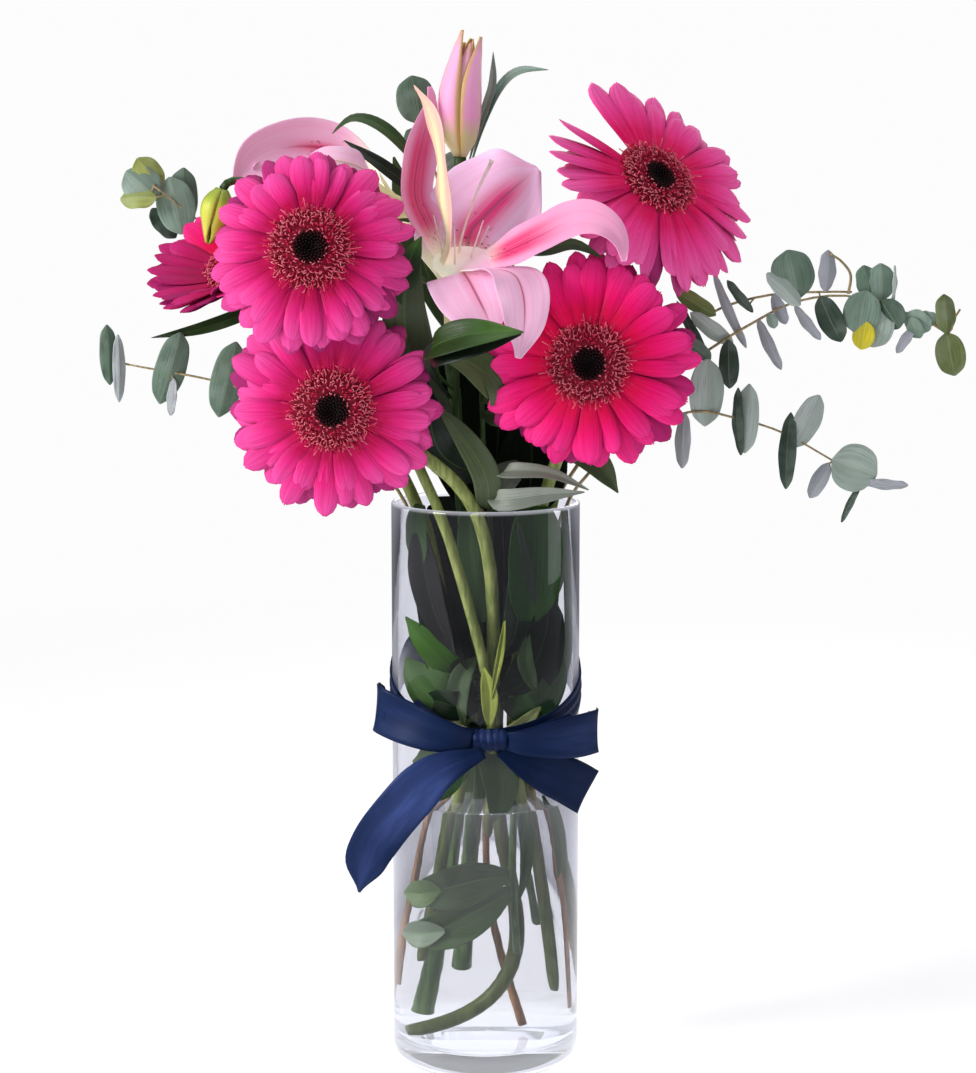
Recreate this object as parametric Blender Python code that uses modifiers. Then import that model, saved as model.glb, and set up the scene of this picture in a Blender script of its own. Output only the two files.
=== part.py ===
"""Lilies and gerberas in a cylinder vase, tied with a ribbon bow.

The frame: origin at the middle of the vase's foot, +Z up, -Y towards the front of the arrangement.
All lengths below are millimetres and are turned into metres by MM as they are used.
"""

import math

import bmesh
import bpy
from mathutils import Matrix, Vector

MM = 0.001
GAP = 0.3                      # clearance between pieces that touch

# ---------------------------------------------------------------- driving dimensions: vase and water
VASE_RADIUS = 50.0
VASE_HEIGHT = 305.0
WALL = 3.0
FLOOR = 14.0                   # thick pressed-glass floor
FOOT_ROUND = 10.0              # outer corner at the foot
BORE = VASE_RADIUS - WALL
INNER_ROUND = 8.0              # inner corner at the floor
WATER_LEVEL = 145.0
TURN_STEPS = 40

# ---------------------------------------------------------------- driving dimensions: ribbon
BAND_FRONT = 187.0             # height of the band's middle at the knot
BAND_RISE = 20.0               # how much higher it runs at the sides, and again at the back
BAND_HALF_FRONT = 4.5
BAND_HALF_BACK = 11.5
RIBBON = 0.8                   # ribbon thickness
KNOT_CENTRE = (2.3, -54.95, 187.5)
KNOT_SIZE = (17.0, 7.0, 10.0)
KNOT_EDGE = 2.2                # how far its corners are rounded
LOOP_WIDTH = 24.0
LOOP_PUFF = 6.0                # the two layers of a loop and the air between them, as one solid
TAIL_WIDTH = 25.0
# name: midline, widths along it as shares of the full width
BOW_LOOPS = {
    "ribbon_loop_left": ([(-7.5, -55, 187.5), (-16, -57.5, 189), (-34, -51, 194), (-53, -38, 202)],
                         (0.36, 0.70, 0.95, 1.0)),
    "ribbon_loop_right": ([(12.1, -55, 187), (22, -57, 186), (40, -50, 186), (56.5, -38, 188)],
                          (0.36, 0.72, 0.95, 1.0)),
}
BOW_TAILS = {
    "ribbon_tail_left": ([(-2, -57, 178.9), (-13, -63.5, 177), (-27, -65, 172), (-40, -63, 158),
                          (-54, -61, 141), (-62, -60, 127), (-65, -59, 110)],
                         (0.25, 0.7, 0.95, 1.0, 1.0, 0.8, 0.1)),
    "ribbon_tail_right": ([(8, -53.5, 178.9), (16, -52, 174.5), (28, -46.5, 169), (42, -38.5, 161),
                           (52, -31, 155)],
                          (0.25, 0.6, 0.85, 0.95, 1.0)),
}

# ---------------------------------------------------------------- driving dimensions: gerberas
DISC_RADIUS = 22.0
DISC_SHOULDER = 3.2            # height of the disc near its rim
DISC_HEIGHT = 5.5
CALYX_TOP = 14.0
CALYX_WAIST = 11.5             # the cup's radius half way down
CALYX_DEPTH = 16.0
CALYX_NECK = 4.6
FLORET_SHEET = 1.4             # thickness of the ring of ray florets
FLORET_HOLE = 11.0
FLORET_ROOT = 24.0             # the ring is flat out to here, where the disc sits on it
FLORETS = 16                   # scallops round the ring
NOTCH = 0.92                   # radius between two scallops, as a share of the full radius
DISH = 5.0                     # how far the ring's rim stands forward

# name: centre of the face, the way it faces, radius, stem radius, stem path from its cut end upwards
GERBERAS = {
    "gerbera_1": dict(
        centre=(-86, -66, 440), facing=(0.07, -0.94, 0.34), radius=51.5, stem=2.7,
        path=[(1, -27, 122), (3, -28, 160), (3, -28, 195), (-1, -32, 224), (-12, -36, 266), (-22, -37, 300),
              (-36, -34, 330), (-47, -24, 360), (-62, -23, 392), (-80, -25, 416)]),
    "gerbera_2": dict(
        centre=(-76, -60, 359), facing=(0.05, -0.99, -0.05), radius=54.0, stem=3.6,
        path=[(-38, -12, 18.2), (-24, -8, 20), (-4, -4, 27), (10, -3, 42), (15, -5, 68), (8, -10, 106),
              (5, -16, 150), (4, -20, 200), (3, -34, 270), (-8, -38, 312), (-31, -47, 333), (-51, -40, 346),
              (-68, -28, 356)]),
    "gerbera_3": dict(
        centre=(53, -52, 382), facing=(-0.04, -0.99, 0.05), radius=56.0, stem=3.4,
        path=[(32, -14, 40), (26, -14, 100), (18, -16, 150), (14, -17, 190), (20, -15, 250), (28, -21, 300),
              (39, -25, 335), (50, -20, 360)]),
    "gerbera_4": dict(
        centre=(89, -15, 474), facing=(0.475, -0.643, 0.60), radius=61.0, stem=3.6,
        path=[(40, 8, 40), (37, 2, 100), (22, -3, 150), (16, -4, 190), (24, -4, 250), (34, -4, 300),
              (46, 2, 350), (58, 8, 400), (68, 10, 436)]),
    "gerbera_5": dict(
        centre=(-128, -5, 431), facing=(-0.45, -0.55, 0.70), radius=46.0, stem=3.3,
        path=[(-30, -14, 55), (-22, -15, 100), (-14, -14, 150), (-11, -14, 190), (-22, -15, 250),
              (-34, -14, 300), (-58, -6, 345), (-84, 6, 385)]),
}

# ---------------------------------------------------------------- driving dimensions: lilies
TEPAL_SHEET = 1.1
TEPAL_ROWS = 8
OPEN_CAMBER = 0.10             # how much the edges of a tepal stand up from its midrib
HALF_OPEN_CAMBER = 0.40
RECEPTACLE = 6.2               # radius of the swelling that the tepals grow from
STALK = 2.6                    # radius of the stalk below it
WIDE_TEPAL = 38.0
NARROW_TEPAL = 29.0
# widths along a tepal, from its root to its tip, as shares of its full width
TEPAL_OUTLINE = (0.10, 0.14, 0.24, 0.64, 1.0, 0.95, 0.62, 0.08)
THROAT = 33.0                  # length of the closed tube below the throat

LILY_BASE = (-17, -25, 393)
LILY_AXIS = (0.08, -0.09, 0.99)
LILY_STEM = 4.0
STALK_PATH = [(-15.2, -17.6, 348), (-17, -20, 374)]
LILY_PATH = [(-10, 5, 45), (-7, -2, 100), (-3, -5, 150), (-2, -6, 190), (-6, -11, 250), (-12, -16, 300),
             (-15, -17, 345), (-16, -16, 366)]
# turn about the tube's axis, wide inner tepal or not, facing, and the midrib above the throat
LILY_TEPALS = {
    "lily_tepal_right": (10, False, (0.1, -0.35, 0.93),
                         [(9, -36, 445), (30, -57, 451), (51, -76, 457), (66, -83, 449), (64, -84, 432)]),
    "lily_tepal_upper_right": (70, True, (-0.1, -0.9, 0.35),
                               [(-4, -19, 443), (5, -17, 458), (18, -16, 470), (31, -18, 474),
                                (40, -22, 469)]),
    "lily_tepal_left": (130, False, (0.6, -0.75, 0.0),
                        [(-29, -17, 446), (-33, -15, 468), (-31, -12, 489), (-29, -8, 509), (-28, -5, 520)]),
    "lily_tepal_upright": (190, True, (1.0, 0.25, 0.0),
                           [(-21, -37, 448), (-23, -42, 473), (-28, -43, 498), (-33, -40, 513),
                            (-37, -35, 519)]),
    "lily_tepal_front": (250, False, (-0.1, -0.75, 0.6),
                         [(-17, -47.5, 411), (-12, -58, 404), (-2, -65, 396), (4, -68, 385)]),
    "lily_tepal_hanging": (310, True, (0.3, -0.8, 0.5),
                           [(6, -50, 431.5), (17, -66, 426), (25, -77, 414), (22, -81, 400), (16, -81, 385)]),
}
# the closed tube: height above its root, distance of a wide tepal from the axis
TUBE_SHAPE = [(0.4, 4.0), (18.0, 5.6), (THROAT, 10.0)]
OUTER_SHIFT = 1.8              # narrow tepals stand this far outside the wide ones
PISTIL = 1.5
PISTIL_PATH = [(-15.5, -27, 412), (-13, -31, 440), (-5, -35, 465), (3, -36, 482)]
BUD_BASE = (-13.3, 1, 485)
BUD_TIP = (-10, 0, 550)
BUD_STALK = 2.2
# radius, and height as a share of the bud's length
BUD_OUTLINE = [(0, 1.0), (3.5, 0.96), (8.5, 0.78), (10.5, 0.42), (8.0, 0.08), (3.5, 0.0), (0, 0)]
BUD_PATH = [(-16, -16, 366), (-17, -4, 385), (-17, 4, 430), (-14, 3, 465)]

BACK_LILY_BASE = (-30, 44, 455)
BACK_LILY_AXIS = (-0.95, -0.25, 0.18)
BACK_LILY_STEM = 3.6
BACK_LILY_PATH = [(-22, 20, 20), (-14, 13, 100), (-8, 9, 150), (-6, 8, 190), (-9, 14, 250), (-13, 23, 300),
                  (-18, 36, 360), (-20, 46, 420), (-22, 47, 445)]
BACK_TUBE = 34.0
HALF_OPEN = 0.86               # its tepals are this share of an open one's width
# turn about the axis, wide or not, and length share of each tepal of the half-open lily behind
BACK_LILY_TEPALS = {
    "back_lily_tepal_top": (0, True, 1.0),
    "back_lily_tepal_top_back": (60, False, 0.85),
    "back_lily_tepal_low_back": (120, True, 0.70),
    "back_lily_tepal_low": (180, False, 0.60),
    "back_lily_tepal_low_front": (240, True, 0.45),
    "back_lily_tepal_top_front": (300, False, 0.60),
}
# the half-open tepal's midrib: along the axis, and out from it
BACK_MIDRIB = [(0.4, 4.0), (20, 6.0), (34, 11), (50, 24), (70, 28), (90, 25), (103, 15), (108, 7)]
GREEN_BUD_BASE = (-137, 0, 468)
GREEN_BUD_TIP = (-144.6, 0, 440.5)
GREEN_BUD_STALK = 1.5
GREEN_BUD_OUTLINE = [(0, 1.0), (4.0, 0.78), (7.5, 0.42), (5.0, 0.08), (2.5, 0.0), (0, 0)]
GREEN_BUD_PATH = [(-20, 46, 415), (-44, 26, 425), (-66, -8, 448), (-98, -14, 476), (-128, -6, 481)]

# ---------------------------------------------------------------- driving dimensions: foliage
LEAF_SHEET = 0.9
SPRIG = 1.7                    # radius of a eucalyptus twig at its foot
ROUND_OUTLINE = (0.10, 0.85, 1.0, 0.85, 0.25)
LANCE_OUTLINE = (0.14, 0.60, 0.95, 0.95, 0.60, 0.08)

# twig path, and its leaves: distance back from the tip, roll round the twig, lean, length, width
SPRIGS = {
    "eucalyptus_upper_left": dict(
        path=[(-38, 10, 30), (-30, 7, 100), (-18, 3, 150), (-14, 3, 190), (-24, 7, 250), (-35, 12, 300),
              (-62, 30, 345), (-98, 49, 395), (-135, 51, 434), (-163, 43, 458), (-178, 38, 470)],
        leaves=[(1, 50, 25, 26, 26), (3, 215, 35, 28, 28), (14, -30, 40, 30, 32), (16, 150, 40, 30, 32),
                (32, 40, 45, 32, 34), (34, 215, 45, 32, 34)]),
    "eucalyptus_left": dict(
        path=[(-39, -1, 40), (-33, -5, 100), (-19, -6, 150), (-15, -6, 190), (-28, -5, 250), (-40, -3, 298),
              (-54, -2, 319), (-85, 0, 345), (-134, 0, 366), (-188, 0, 377)],
        leaves=[(2, 15, 65, 36, 37), (4, 195, 70, 36, 38), (32, -10, 62, 38, 40), (34, 170, 66, 36, 40),
                (62, 10, 60, 36, 38), (64, 190, 66, 34, 38)]),
    "eucalyptus_upper_right": dict(
        path=[(33, 20, 40), (31, 14, 100), (18, 8, 150), (14, 6, 190), (25, 9, 250), (36, 13, 300),
              (72, 14, 350), (116, 6, 383), (141, 2, 399), (163, 0, 410), (190, -1, 413), (218, 0, 405),
              (238, 0, 398)],
        leaves=[(2, 95, 45, 18, 12), (4, 260, 60, 24, 16), (18, 30, 60, 20, 18), (20, 210, 60, 20, 18),
                (38, 35, 45, 30, 30), (40, 215, 45, 30, 30), (63, 80, 50, 26, 18), (65, 260, 55, 28, 18),
                (84, 25, 55, 30, 30), (86, 215, 60, 24, 22)]),
    "eucalyptus_lower_right": dict(
        path=[(40, -9, 30), (36, -12, 100), (25, -11, 150), (22, -10, 190), (31, -12, 250), (41, -11, 299),
              (53, -9, 319), (76, -4, 340), (108, 0, 352), (131, 0, 349), (157, 0, 341), (184, 0, 326)],
        leaves=[(1, 20, 40, 30, 26), (3, 200, 70, 30, 14), (29, 20, 60, 34, 30), (31, 195, 70, 38, 26),
                (57, 10, 75, 36, 34), (59, 190, 70, 34, 34), (79, 20, 60, 32, 32), (81, 205, 70, 30, 30)]),
    "eucalyptus_top": dict(
        path=[(14, 10, 17), (2, 11, 66), (0, 13, 100), (0, 11, 150), (1, 12, 190), (0, 22, 250), (-2, 32, 300),
              (-8, 56, 360), (-16, 66, 430), (-28, 62, 480), (-34, 56, 508)],
        leaves=[(4, 60, 30, 26, 24), (22, 235, 55, 20, 18), (25, 50, 55, 20, 18)]),
}

FOLIAGE = {
    "foliage_front": dict(
        path=[(14, -12, 58), (13, -20, 98), (13, -9, 150), (7, -8, 190), (4, -9, 250), (2, -10, 300),
              (-1, -14, 335), (-2, -19, 366)],
        leaves=[([(13, -20, 97), (-4, -27, 98), (-33, -29, 97)], (0, -1, 0.1), 20),
                ([(13, -20, 93), (-6, -26, 84), (-33, -26, 77)], (0, -1, 0.1), 22),
                ([(5, -9, 222), (14, -27, 234), (18, -37, 262), (17, -37, 298)], (0.35, -1, 0.1), 17),
                ([(-2, -18, 362), (5, -34, 373), (10, -40, 386)], (0.3, -0.8, 0.5), 22),
                ([(-2, -16, 334), (-15, -32, 334), (-29, -39, 341)], (0, -0.8, 0.6), 20),
                ([(2, -10, 306), (-4, -32, 317), (-4, -49, 319), (3, -51, 309)], (0.1, -0.4, 0.9), 12)]),
    "foliage_right": dict(
        path=[(21, 13, 60), (17, 9, 100), (10, 3, 150), (8, 2, 190), (13, 4, 250), (18, 3, 300),
              (24, 0, 332), (28, -2, 350)],
        leaves=[([(23, 0, 324), (21, -25, 322), (46, -43, 312)], (0.2, -1, 0.2), 16),
                ([(25, -1, 338), (42, -16, 334), (70, -24, 318)], (0.2, -0.8, 0.6), 16),
                ([(28, -2, 349), (24, -22, 372), (30, -30, 392)], (0, -0.9, 0.3), 24)]),
}
LILY_LEAVES = [([(-15, -17, 345), (-34, -31, 370), (-41, -49, 408), (-34, -50, 441)], (0.1, -1, 0.2), 26),
               ([(-16, -18, 364), (-20, -42, 372), (-19, -67, 383.5), (-12, -81, 390), (2, -87, 395),
                 (20, -89, 395)], (-0.4, -0.5, 0.75), 19),
               ([(-4, -8, 214), (-7, -22, 216), (-23, -26, 224), (-33, -19, 240)], (-0.3, -0.5, 0.8), 18),
               ([(-15, 4, 452), (-6, 14, 488), (3, 6, 520), (4, 1, 539)], (-0.9, -0.4, 0.1), 8),
               ([(-15, 4, 448), (-2, 14, 488), (8, 8, 514), (16, 2, 530), (33, 0, 529)],
                (-0.5, -0.5, 0.7), 8)]


# ================================================================ scene and materials
for leftover in list(bpy.data.objects):
    bpy.data.objects.remove(leftover)


def new_collection(name):
    group = bpy.data.collections.new(name)
    bpy.context.scene.collection.children.link(group)
    return group


PARTS = new_collection("lilies and gerberas in a vase")
CUTTERS = new_collection("cutters")
CHANNELS = new_collection("water channels")


def material(name, colour, roughness=0.5, transmission=0.0):
    made = bpy.data.materials.new(name)
    made.use_nodes = True
    shader = made.node_tree.nodes["Principled BSDF"]
    shader.inputs["Base Color"].default_value = (*colour, 1.0)
    shader.inputs["Roughness"].default_value = roughness
    shader.inputs["Metallic"].default_value = 0.0
    shader.inputs["Transmission Weight"].default_value = transmission
    made.diffuse_color = (*colour, 1.0)
    return made


GLASS = material("clear_glass", (0.94, 0.98, 0.96), 0.02, 1.0)
WATER = material("still_water", (0.93, 0.96, 0.98), 0.0, 1.0)
SATIN = material("navy_satin", (0.010, 0.022, 0.110), 0.35)
FLORET_PINK = material("gerbera_pink", (0.86, 0.03, 0.22), 0.55)
FLORET_DISC = material("gerbera_disc", (0.20, 0.01, 0.03), 0.7)
GREEN_CUP = material("gerbera_cup", (0.16, 0.30, 0.06), 0.6)
GERBERA_STEM = material("gerbera_stem", (0.27, 0.42, 0.10), 0.55)
LILY_PINK = material("lily_pink", (0.90, 0.42, 0.66), 0.5)
LILY_GREEN = material("lily_green", (0.07, 0.17, 0.03), 0.45)
LILY_LIME = material("lily_lime", (0.48, 0.58, 0.08), 0.5)
EUCALYPTUS = material("eucalyptus_grey_green", (0.20, 0.32, 0.27), 0.65)


# ================================================================ helpers
def vec(point):
    return Vector(point) * MM


def between(values, share):
    """Read a short list of values as a broken line; share runs from 0 to 1."""
    place = min(max(share, 0.0), 1.0) * (len(values) - 1)
    index = min(int(place), len(values) - 2)
    return values[index] + (values[index + 1] - values[index]) * (place - index)


def smooth_path(points, count):
    """A Catmull-Rom curve through the points, cut into equal steps."""
    knots = [Vector(p) for p in points]
    knots = [knots[0] * 2 - knots[1]] + knots + [knots[-1] * 2 - knots[-2]]
    dense = []
    fine = 16
    for i in range(1, len(knots) - 2):
        before, start, end, after = knots[i - 1:i + 3]
        for k in range(fine):
            t = k / fine
            dense.append(0.5 * (2 * start + (end - before) * t
                                + (2 * before - 5 * start + 4 * end - after) * t ** 2
                                + (3 * start - before - 3 * end + after) * t ** 3))
    dense.append(knots[-2])
    lengths = [0.0]
    for a, b in zip(dense, dense[1:]):
        lengths.append(lengths[-1] + (b - a).length)
    path = []
    k = 0
    for i in range(count + 1):
        wanted = lengths[-1] * i / count
        while k < len(dense) - 2 and lengths[k + 1] < wanted:
            k += 1
        share = (wanted - lengths[k]) / (lengths[k + 1] - lengths[k])
        path.append(dense[k].lerp(dense[k + 1], share))
    return path


def finish(obj, skin, collection=PARTS):
    if skin:
        obj.data.materials.append(skin)
    collection.objects.link(obj)
    if collection is not PARTS:
        obj.hide_render = True
        obj.display_type = "WIRE"
    return obj


def tube(name, path, radius, skin=None, collection=PARTS, taper=1.0, sides=1):
    """A round stem along a list of points, with filled ends."""
    curve = bpy.data.curves.new(name, "CURVE")
    curve.dimensions = "3D"
    curve.bevel_depth = radius * MM
    curve.bevel_resolution = sides
    curve.use_fill_caps = True
    curve.resolution_u = 1
    spline = curve.splines.new("POLY")
    spline.points.add(len(path) - 1)
    for i, (point, place) in enumerate(zip(spline.points, path)):
        point.co = (*vec(place), 1.0)
        point.radius = 1.0 + (taper - 1.0) * i / (len(path) - 1)
    obj = bpy.data.objects.new(name, curve)
    return finish(obj, skin, collection)


def as_mesh(obj):
    """Turn a tube into a closed mesh, so that Booleans can use it."""
    bpy.context.view_layer.update()
    seen = obj.evaluated_get(bpy.context.evaluated_depsgraph_get())
    mesh = bpy.data.meshes.new_from_object(seen)
    bm = bmesh.new()
    bm.from_mesh(mesh)
    bmesh.ops.remove_doubles(bm, verts=bm.verts, dist=0.000001)
    bm.to_mesh(mesh)
    bm.free()
    solid = bpy.data.objects.new(obj.name, mesh)
    solid.matrix_world = obj.matrix_world
    solid.hide_render = obj.hide_render
    solid.display_type = obj.display_type
    name = obj.name
    for group in obj.users_collection:
        group.objects.link(solid)
    bpy.data.objects.remove(obj)
    solid.name = name
    return solid


def turned(name, profile, steps, skin, collection=PARTS):
    """A profile of (radius, height) turned round +Z; it runs up the inside and down the outside."""
    bm = bmesh.new()
    verts = [bm.verts.new((r * MM, 0, z * MM)) for r, z in profile]
    for a, b in zip(verts, verts[1:]):
        bm.edges.new((a, b))
    mesh = bpy.data.meshes.new(name)
    bm.to_mesh(mesh)
    bm.free()
    obj = finish(bpy.data.objects.new(name, mesh), skin, collection)
    screw = obj.modifiers.new("turn", "SCREW")
    screw.steps = steps
    screw.render_steps = steps
    screw.use_merge_vertices = True
    screw.merge_threshold = 0.000001
    screw.use_smooth_shade = True
    return obj


def rounded(centre, radius, start, stop, pieces=3):
    """Points of an arc in a turned profile, angles in degrees."""
    points = []
    for i in range(pieces + 1):
        angle = math.radians(start + (stop - start) * i / pieces)
        points.append((centre[0] + radius * math.cos(angle), centre[1] + radius * math.sin(angle)))
    return points


def add_blade(bm, path, facing, outline, width, rows):
    """A curved sheet along a path, as wide as its outline says, facing roughly as asked."""
    grid = bmesh.ops.create_grid(bm, x_segments=rows, y_segments=1, size=0.5)["verts"]
    spine = smooth_path(path, rows)
    face = Vector(facing).normalized()
    sides = []
    for i in range(rows + 1):
        along = spine[min(i + 1, rows)] - spine[max(i - 1, 0)]
        sides.append(along.cross(face).normalized())
    for vert in grid:
        share = vert.co.x + 0.5
        i = round(share * rows)
        across = vert.co.y * 2.0
        half = width / 2 * between(outline, share)
        vert.co = (spine[i] + sides[i] * (half * across)) * MM


def thick_sheet(name, bm, thickness, skin, collection=PARTS, offset=0.0):
    """A sheet of triangles given thickness; the bmesh is used up."""
    bmesh.ops.recalc_face_normals(bm, faces=bm.faces)
    bmesh.ops.triangulate(bm, faces=bm.faces)
    mesh = bpy.data.meshes.new(name)
    bm.to_mesh(mesh)
    bm.free()
    obj = finish(bpy.data.objects.new(name, mesh), skin, collection)
    wall = obj.modifiers.new("thickness", "SOLIDIFY")
    wall.thickness = thickness * MM
    wall.offset = offset
    return obj


def sheet_object(name, blades, thickness, skin, collection=PARTS):
    """Blades given thickness about their middle."""
    bm = bmesh.new()
    for blade in blades:
        add_blade(bm, *blade)
    return thick_sheet(name, bm, thickness, skin, collection)


def unite(obj, tool):
    """Grow one solid onto another."""
    joint = obj.modifiers.new("grown_on_" + tool.name, "BOOLEAN")
    joint.operation = "UNION"
    joint.solver = "EXACT"
    joint.use_self = True
    joint.object = tool
    return obj


def grown_from(path, blades):
    """Start each blade's midrib inside its stem, in the step nearest to where it was asked for."""
    middles = [start.lerp(end, 0.4) for start, end in zip(path, path[1:])]
    rooted = []
    for midrib, facing, width in blades:
        root = min(middles, key=lambda place: (place - Vector(midrib[0])).length)
        rooted.append(([root, *midrib[1:]], facing, width))
    return rooted


def head_frame(name, centre, facing):
    """An empty at a flower's face whose +Z points the way the flower looks."""
    frame = bpy.data.objects.new(name, None)
    frame.location = vec(centre)
    frame.rotation_euler = Vector(facing).to_track_quat("Z", "Y").to_euler()
    frame.empty_display_size = 0.02
    PARTS.objects.link(frame)
    return frame


def channel(name, path, radius):
    """The room that a stem takes in the water."""
    wet = [Vector(p) for p in path]
    wet = [p for i, p in enumerate(wet) if i == 0 or wet[i - 1].z < WATER_LEVEL + 5]
    wet[0] = wet[0] + (wet[0] - wet[1]).normalized() * GAP
    as_mesh(tube(name + "_channel", wet, radius + GAP, None, CHANNELS))


# ================================================================ vase and water
def make_vase():
    profile = [(0, FLOOR), *rounded((BORE - INNER_ROUND, FLOOR + INNER_ROUND), INNER_ROUND, -90, 0),
               *rounded((VASE_RADIUS - WALL / 2, VASE_HEIGHT - WALL / 2), WALL / 2, 180, 0),
               *rounded((VASE_RADIUS - FOOT_ROUND, FOOT_ROUND), FOOT_ROUND, 0, -90), (0, 0)]
    return turned("vase", profile, TURN_STEPS, GLASS)


def make_water():
    side = BORE - GAP
    inner = INNER_ROUND - GAP
    profile = [(0, WATER_LEVEL), (side, WATER_LEVEL),
               *rounded((BORE - INNER_ROUND, FLOOR + INNER_ROUND), inner, 0, -90), (0, FLOOR + GAP)]
    water = turned("water", profile, TURN_STEPS, WATER)
    cut = water.modifiers.new("stems", "BOOLEAN")
    cut.operation = "DIFFERENCE"
    cut.solver = "EXACT"
    cut.operand_type = "COLLECTION"
    cut.collection = CHANNELS
    return water


# ================================================================ ribbon
def make_band():
    bm = bmesh.new()
    radius = (VASE_RADIUS + GAP + RIBBON / 2) * MM
    bmesh.ops.create_cone(bm, segments=TURN_STEPS, radius1=radius, radius2=radius, depth=1.0)
    for vert in bm.verts:
        lift = 1.0 + vert.co.y / radius
        half = BAND_HALF_FRONT + (BAND_HALF_BACK - BAND_HALF_FRONT) * lift / 2
        vert.co.z = (BAND_FRONT + BAND_RISE * lift + (half if vert.co.z > 0 else -half)) * MM
    thick_sheet("ribbon_band", bm, RIBBON, SATIN)


def make_knot():
    bm = bmesh.new()
    bmesh.ops.create_cube(bm, size=1.0)
    bmesh.ops.scale(bm, vec=vec(KNOT_SIZE), verts=bm.verts)
    bmesh.ops.translate(bm, vec=vec(KNOT_CENTRE), verts=bm.verts)
    mesh = bpy.data.meshes.new("ribbon_knot")
    bm.to_mesh(mesh)
    bm.free()
    knot = finish(bpy.data.objects.new("ribbon_knot", mesh), SATIN)
    edge = knot.modifiers.new("soft_edges", "BEVEL")
    edge.width = KNOT_EDGE * MM
    edge.segments = 2


def make_bow():
    front = (0, -1, 0)
    for name, (midline, outline) in BOW_LOOPS.items():
        sheet_object(name, [(midline, front, outline, LOOP_WIDTH, 6)], LOOP_PUFF, SATIN)
    for name, (midline, outline) in BOW_TAILS.items():
        sheet_object(name, [(midline, front, outline, TAIL_WIDTH, 8)], RIBBON, SATIN)


# ================================================================ gerberas
def ray_ring(name, radius, frame):
    """The ring of ray florets: a flat root zone, then a scalloped dish."""
    bm = bmesh.new()
    bmesh.ops.create_circle(bm, segments=FLORETS * 2, radius=FLORET_HOLE * MM)
    ring = list(bm.edges)
    for reach, height in ((FLORET_ROOT, 0.0), (radius, DISH)):
        grown = bmesh.ops.extrude_edge_only(bm, edges=ring)["geom"]
        ring = [item for item in grown if isinstance(item, bmesh.types.BMEdge)]
        for i, vert in enumerate(item for item in grown if isinstance(item, bmesh.types.BMVert)):
            turn = math.atan2(vert.co.y, vert.co.x)
            is_tip = round(turn / math.pi * FLORETS) % 2 == 0
            size = reach if is_tip or height == 0.0 else reach * NOTCH
            vert.co = Vector((size * math.cos(turn), size * math.sin(turn), height)) * MM
    bmesh.ops.translate(bm, vec=(0, 0, -FLORET_SHEET / 2 * MM), verts=bm.verts)
    thick_sheet(name, bm, FLORET_SHEET, FLORET_PINK).parent = frame


def make_gerbera(name, spec):
    frame = head_frame(name, spec["centre"], spec["facing"])
    ray_ring(name + "_ray_florets", spec["radius"], frame)
    disc_profile = [(0, DISC_HEIGHT), (DISC_RADIUS / 2, DISC_HEIGHT), (DISC_RADIUS - 2, DISC_SHOULDER),
                    (DISC_RADIUS, GAP), (0, GAP)]
    disc = turned(name + "_disc", disc_profile, 16, FLORET_DISC)
    disc.parent = frame
    top = -FLORET_SHEET - GAP
    cup_profile = [(0, top), (CALYX_TOP, top), (CALYX_WAIST, top - CALYX_DEPTH / 2),
                   (CALYX_NECK, top - CALYX_DEPTH), (0, top - CALYX_DEPTH)]
    cup = turned(name + "_calyx", cup_profile, 14, GREEN_CUP)
    cup.parent = frame
    facing = Vector(spec["facing"]).normalized()
    end = Vector(spec["centre"]) + facing * (top - CALYX_DEPTH - GAP)
    path = smooth_path([*spec["path"], end - facing * 11, end], 20)
    path[-2] = end - facing * 4
    tube(name + "_stem", path, spec["stem"], GERBERA_STEM)
    channel(name, path, spec["stem"])


# ================================================================ lilies
def axis_frame(axis):
    """The axis, and two directions across it; the first of them leans to +X or upwards."""
    along = Vector(axis).normalized()
    guide = Vector((1, 0, 0)) if abs(along.x) < 0.5 else Vector((0, 0, 1))
    first = (guide - along * guide.dot(along)).normalized()
    return along, first, along.cross(first)


def receptacle(name, base, axis, stem):
    """The swollen end of a flower stalk that the tepals grow from."""
    along = Vector(axis).normalized()
    top = Vector(base)
    cup = tube(name + "_receptacle", [top - along * 7, top - along * 3, top], RECEPTACLE, None, CUTTERS)
    cup.data.splines[0].points[0].radius = 0.4
    return unite(stem, as_mesh(cup))


def make_tepals(base, axis):
    along, first, second = axis_frame(axis)
    root = Vector(base)
    for name, (turn, wide, facing, midrib) in LILY_TEPALS.items():
        angle = math.radians(turn)
        out = first * math.cos(angle) + second * math.sin(angle)
        shift = 0.0 if wide else OUTER_SHIFT
        tube_points = [root + along * h + out * (r + shift) for h, r in TUBE_SHAPE]
        width = WIDE_TEPAL if wide else NARROW_TEPAL
        make_tepal(name, tube_points + [Vector(p) for p in midrib], -out, Vector(facing), width, OPEN_CAMBER)


def make_tepal(name, path, inward, facing, width, camber):
    """A tepal: its face turns from the tube's axis to its own facing above the throat."""
    rows = TEPAL_ROWS
    bm = bmesh.new()
    grid = bmesh.ops.create_grid(bm, x_segments=rows, y_segments=2, size=0.5)["verts"]
    spine = smooth_path(path, rows)
    for vert in grid:
        share = vert.co.x + 0.5
        i = round(share * rows)
        across = vert.co.y * 2.0
        face = inward.lerp(facing.normalized(), min(max((share - 0.25) / 0.2, 0.0), 1.0))
        along = spine[min(i + 1, rows)] - spine[max(i - 1, 0)]
        side = along.cross(face).normalized()
        lift = side.cross(along).normalized()
        if lift.dot(face) < 0:
            lift = -lift
        half = width / 2 * between(TEPAL_OUTLINE, share)
        cup = camber * half * across ** 2 * min(share * 2, 1.0)
        vert.co = (spine[i] + side * (half * across) + lift * cup) * MM
    thick_sheet(name, bm, TEPAL_SHEET, LILY_PINK)


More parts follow.
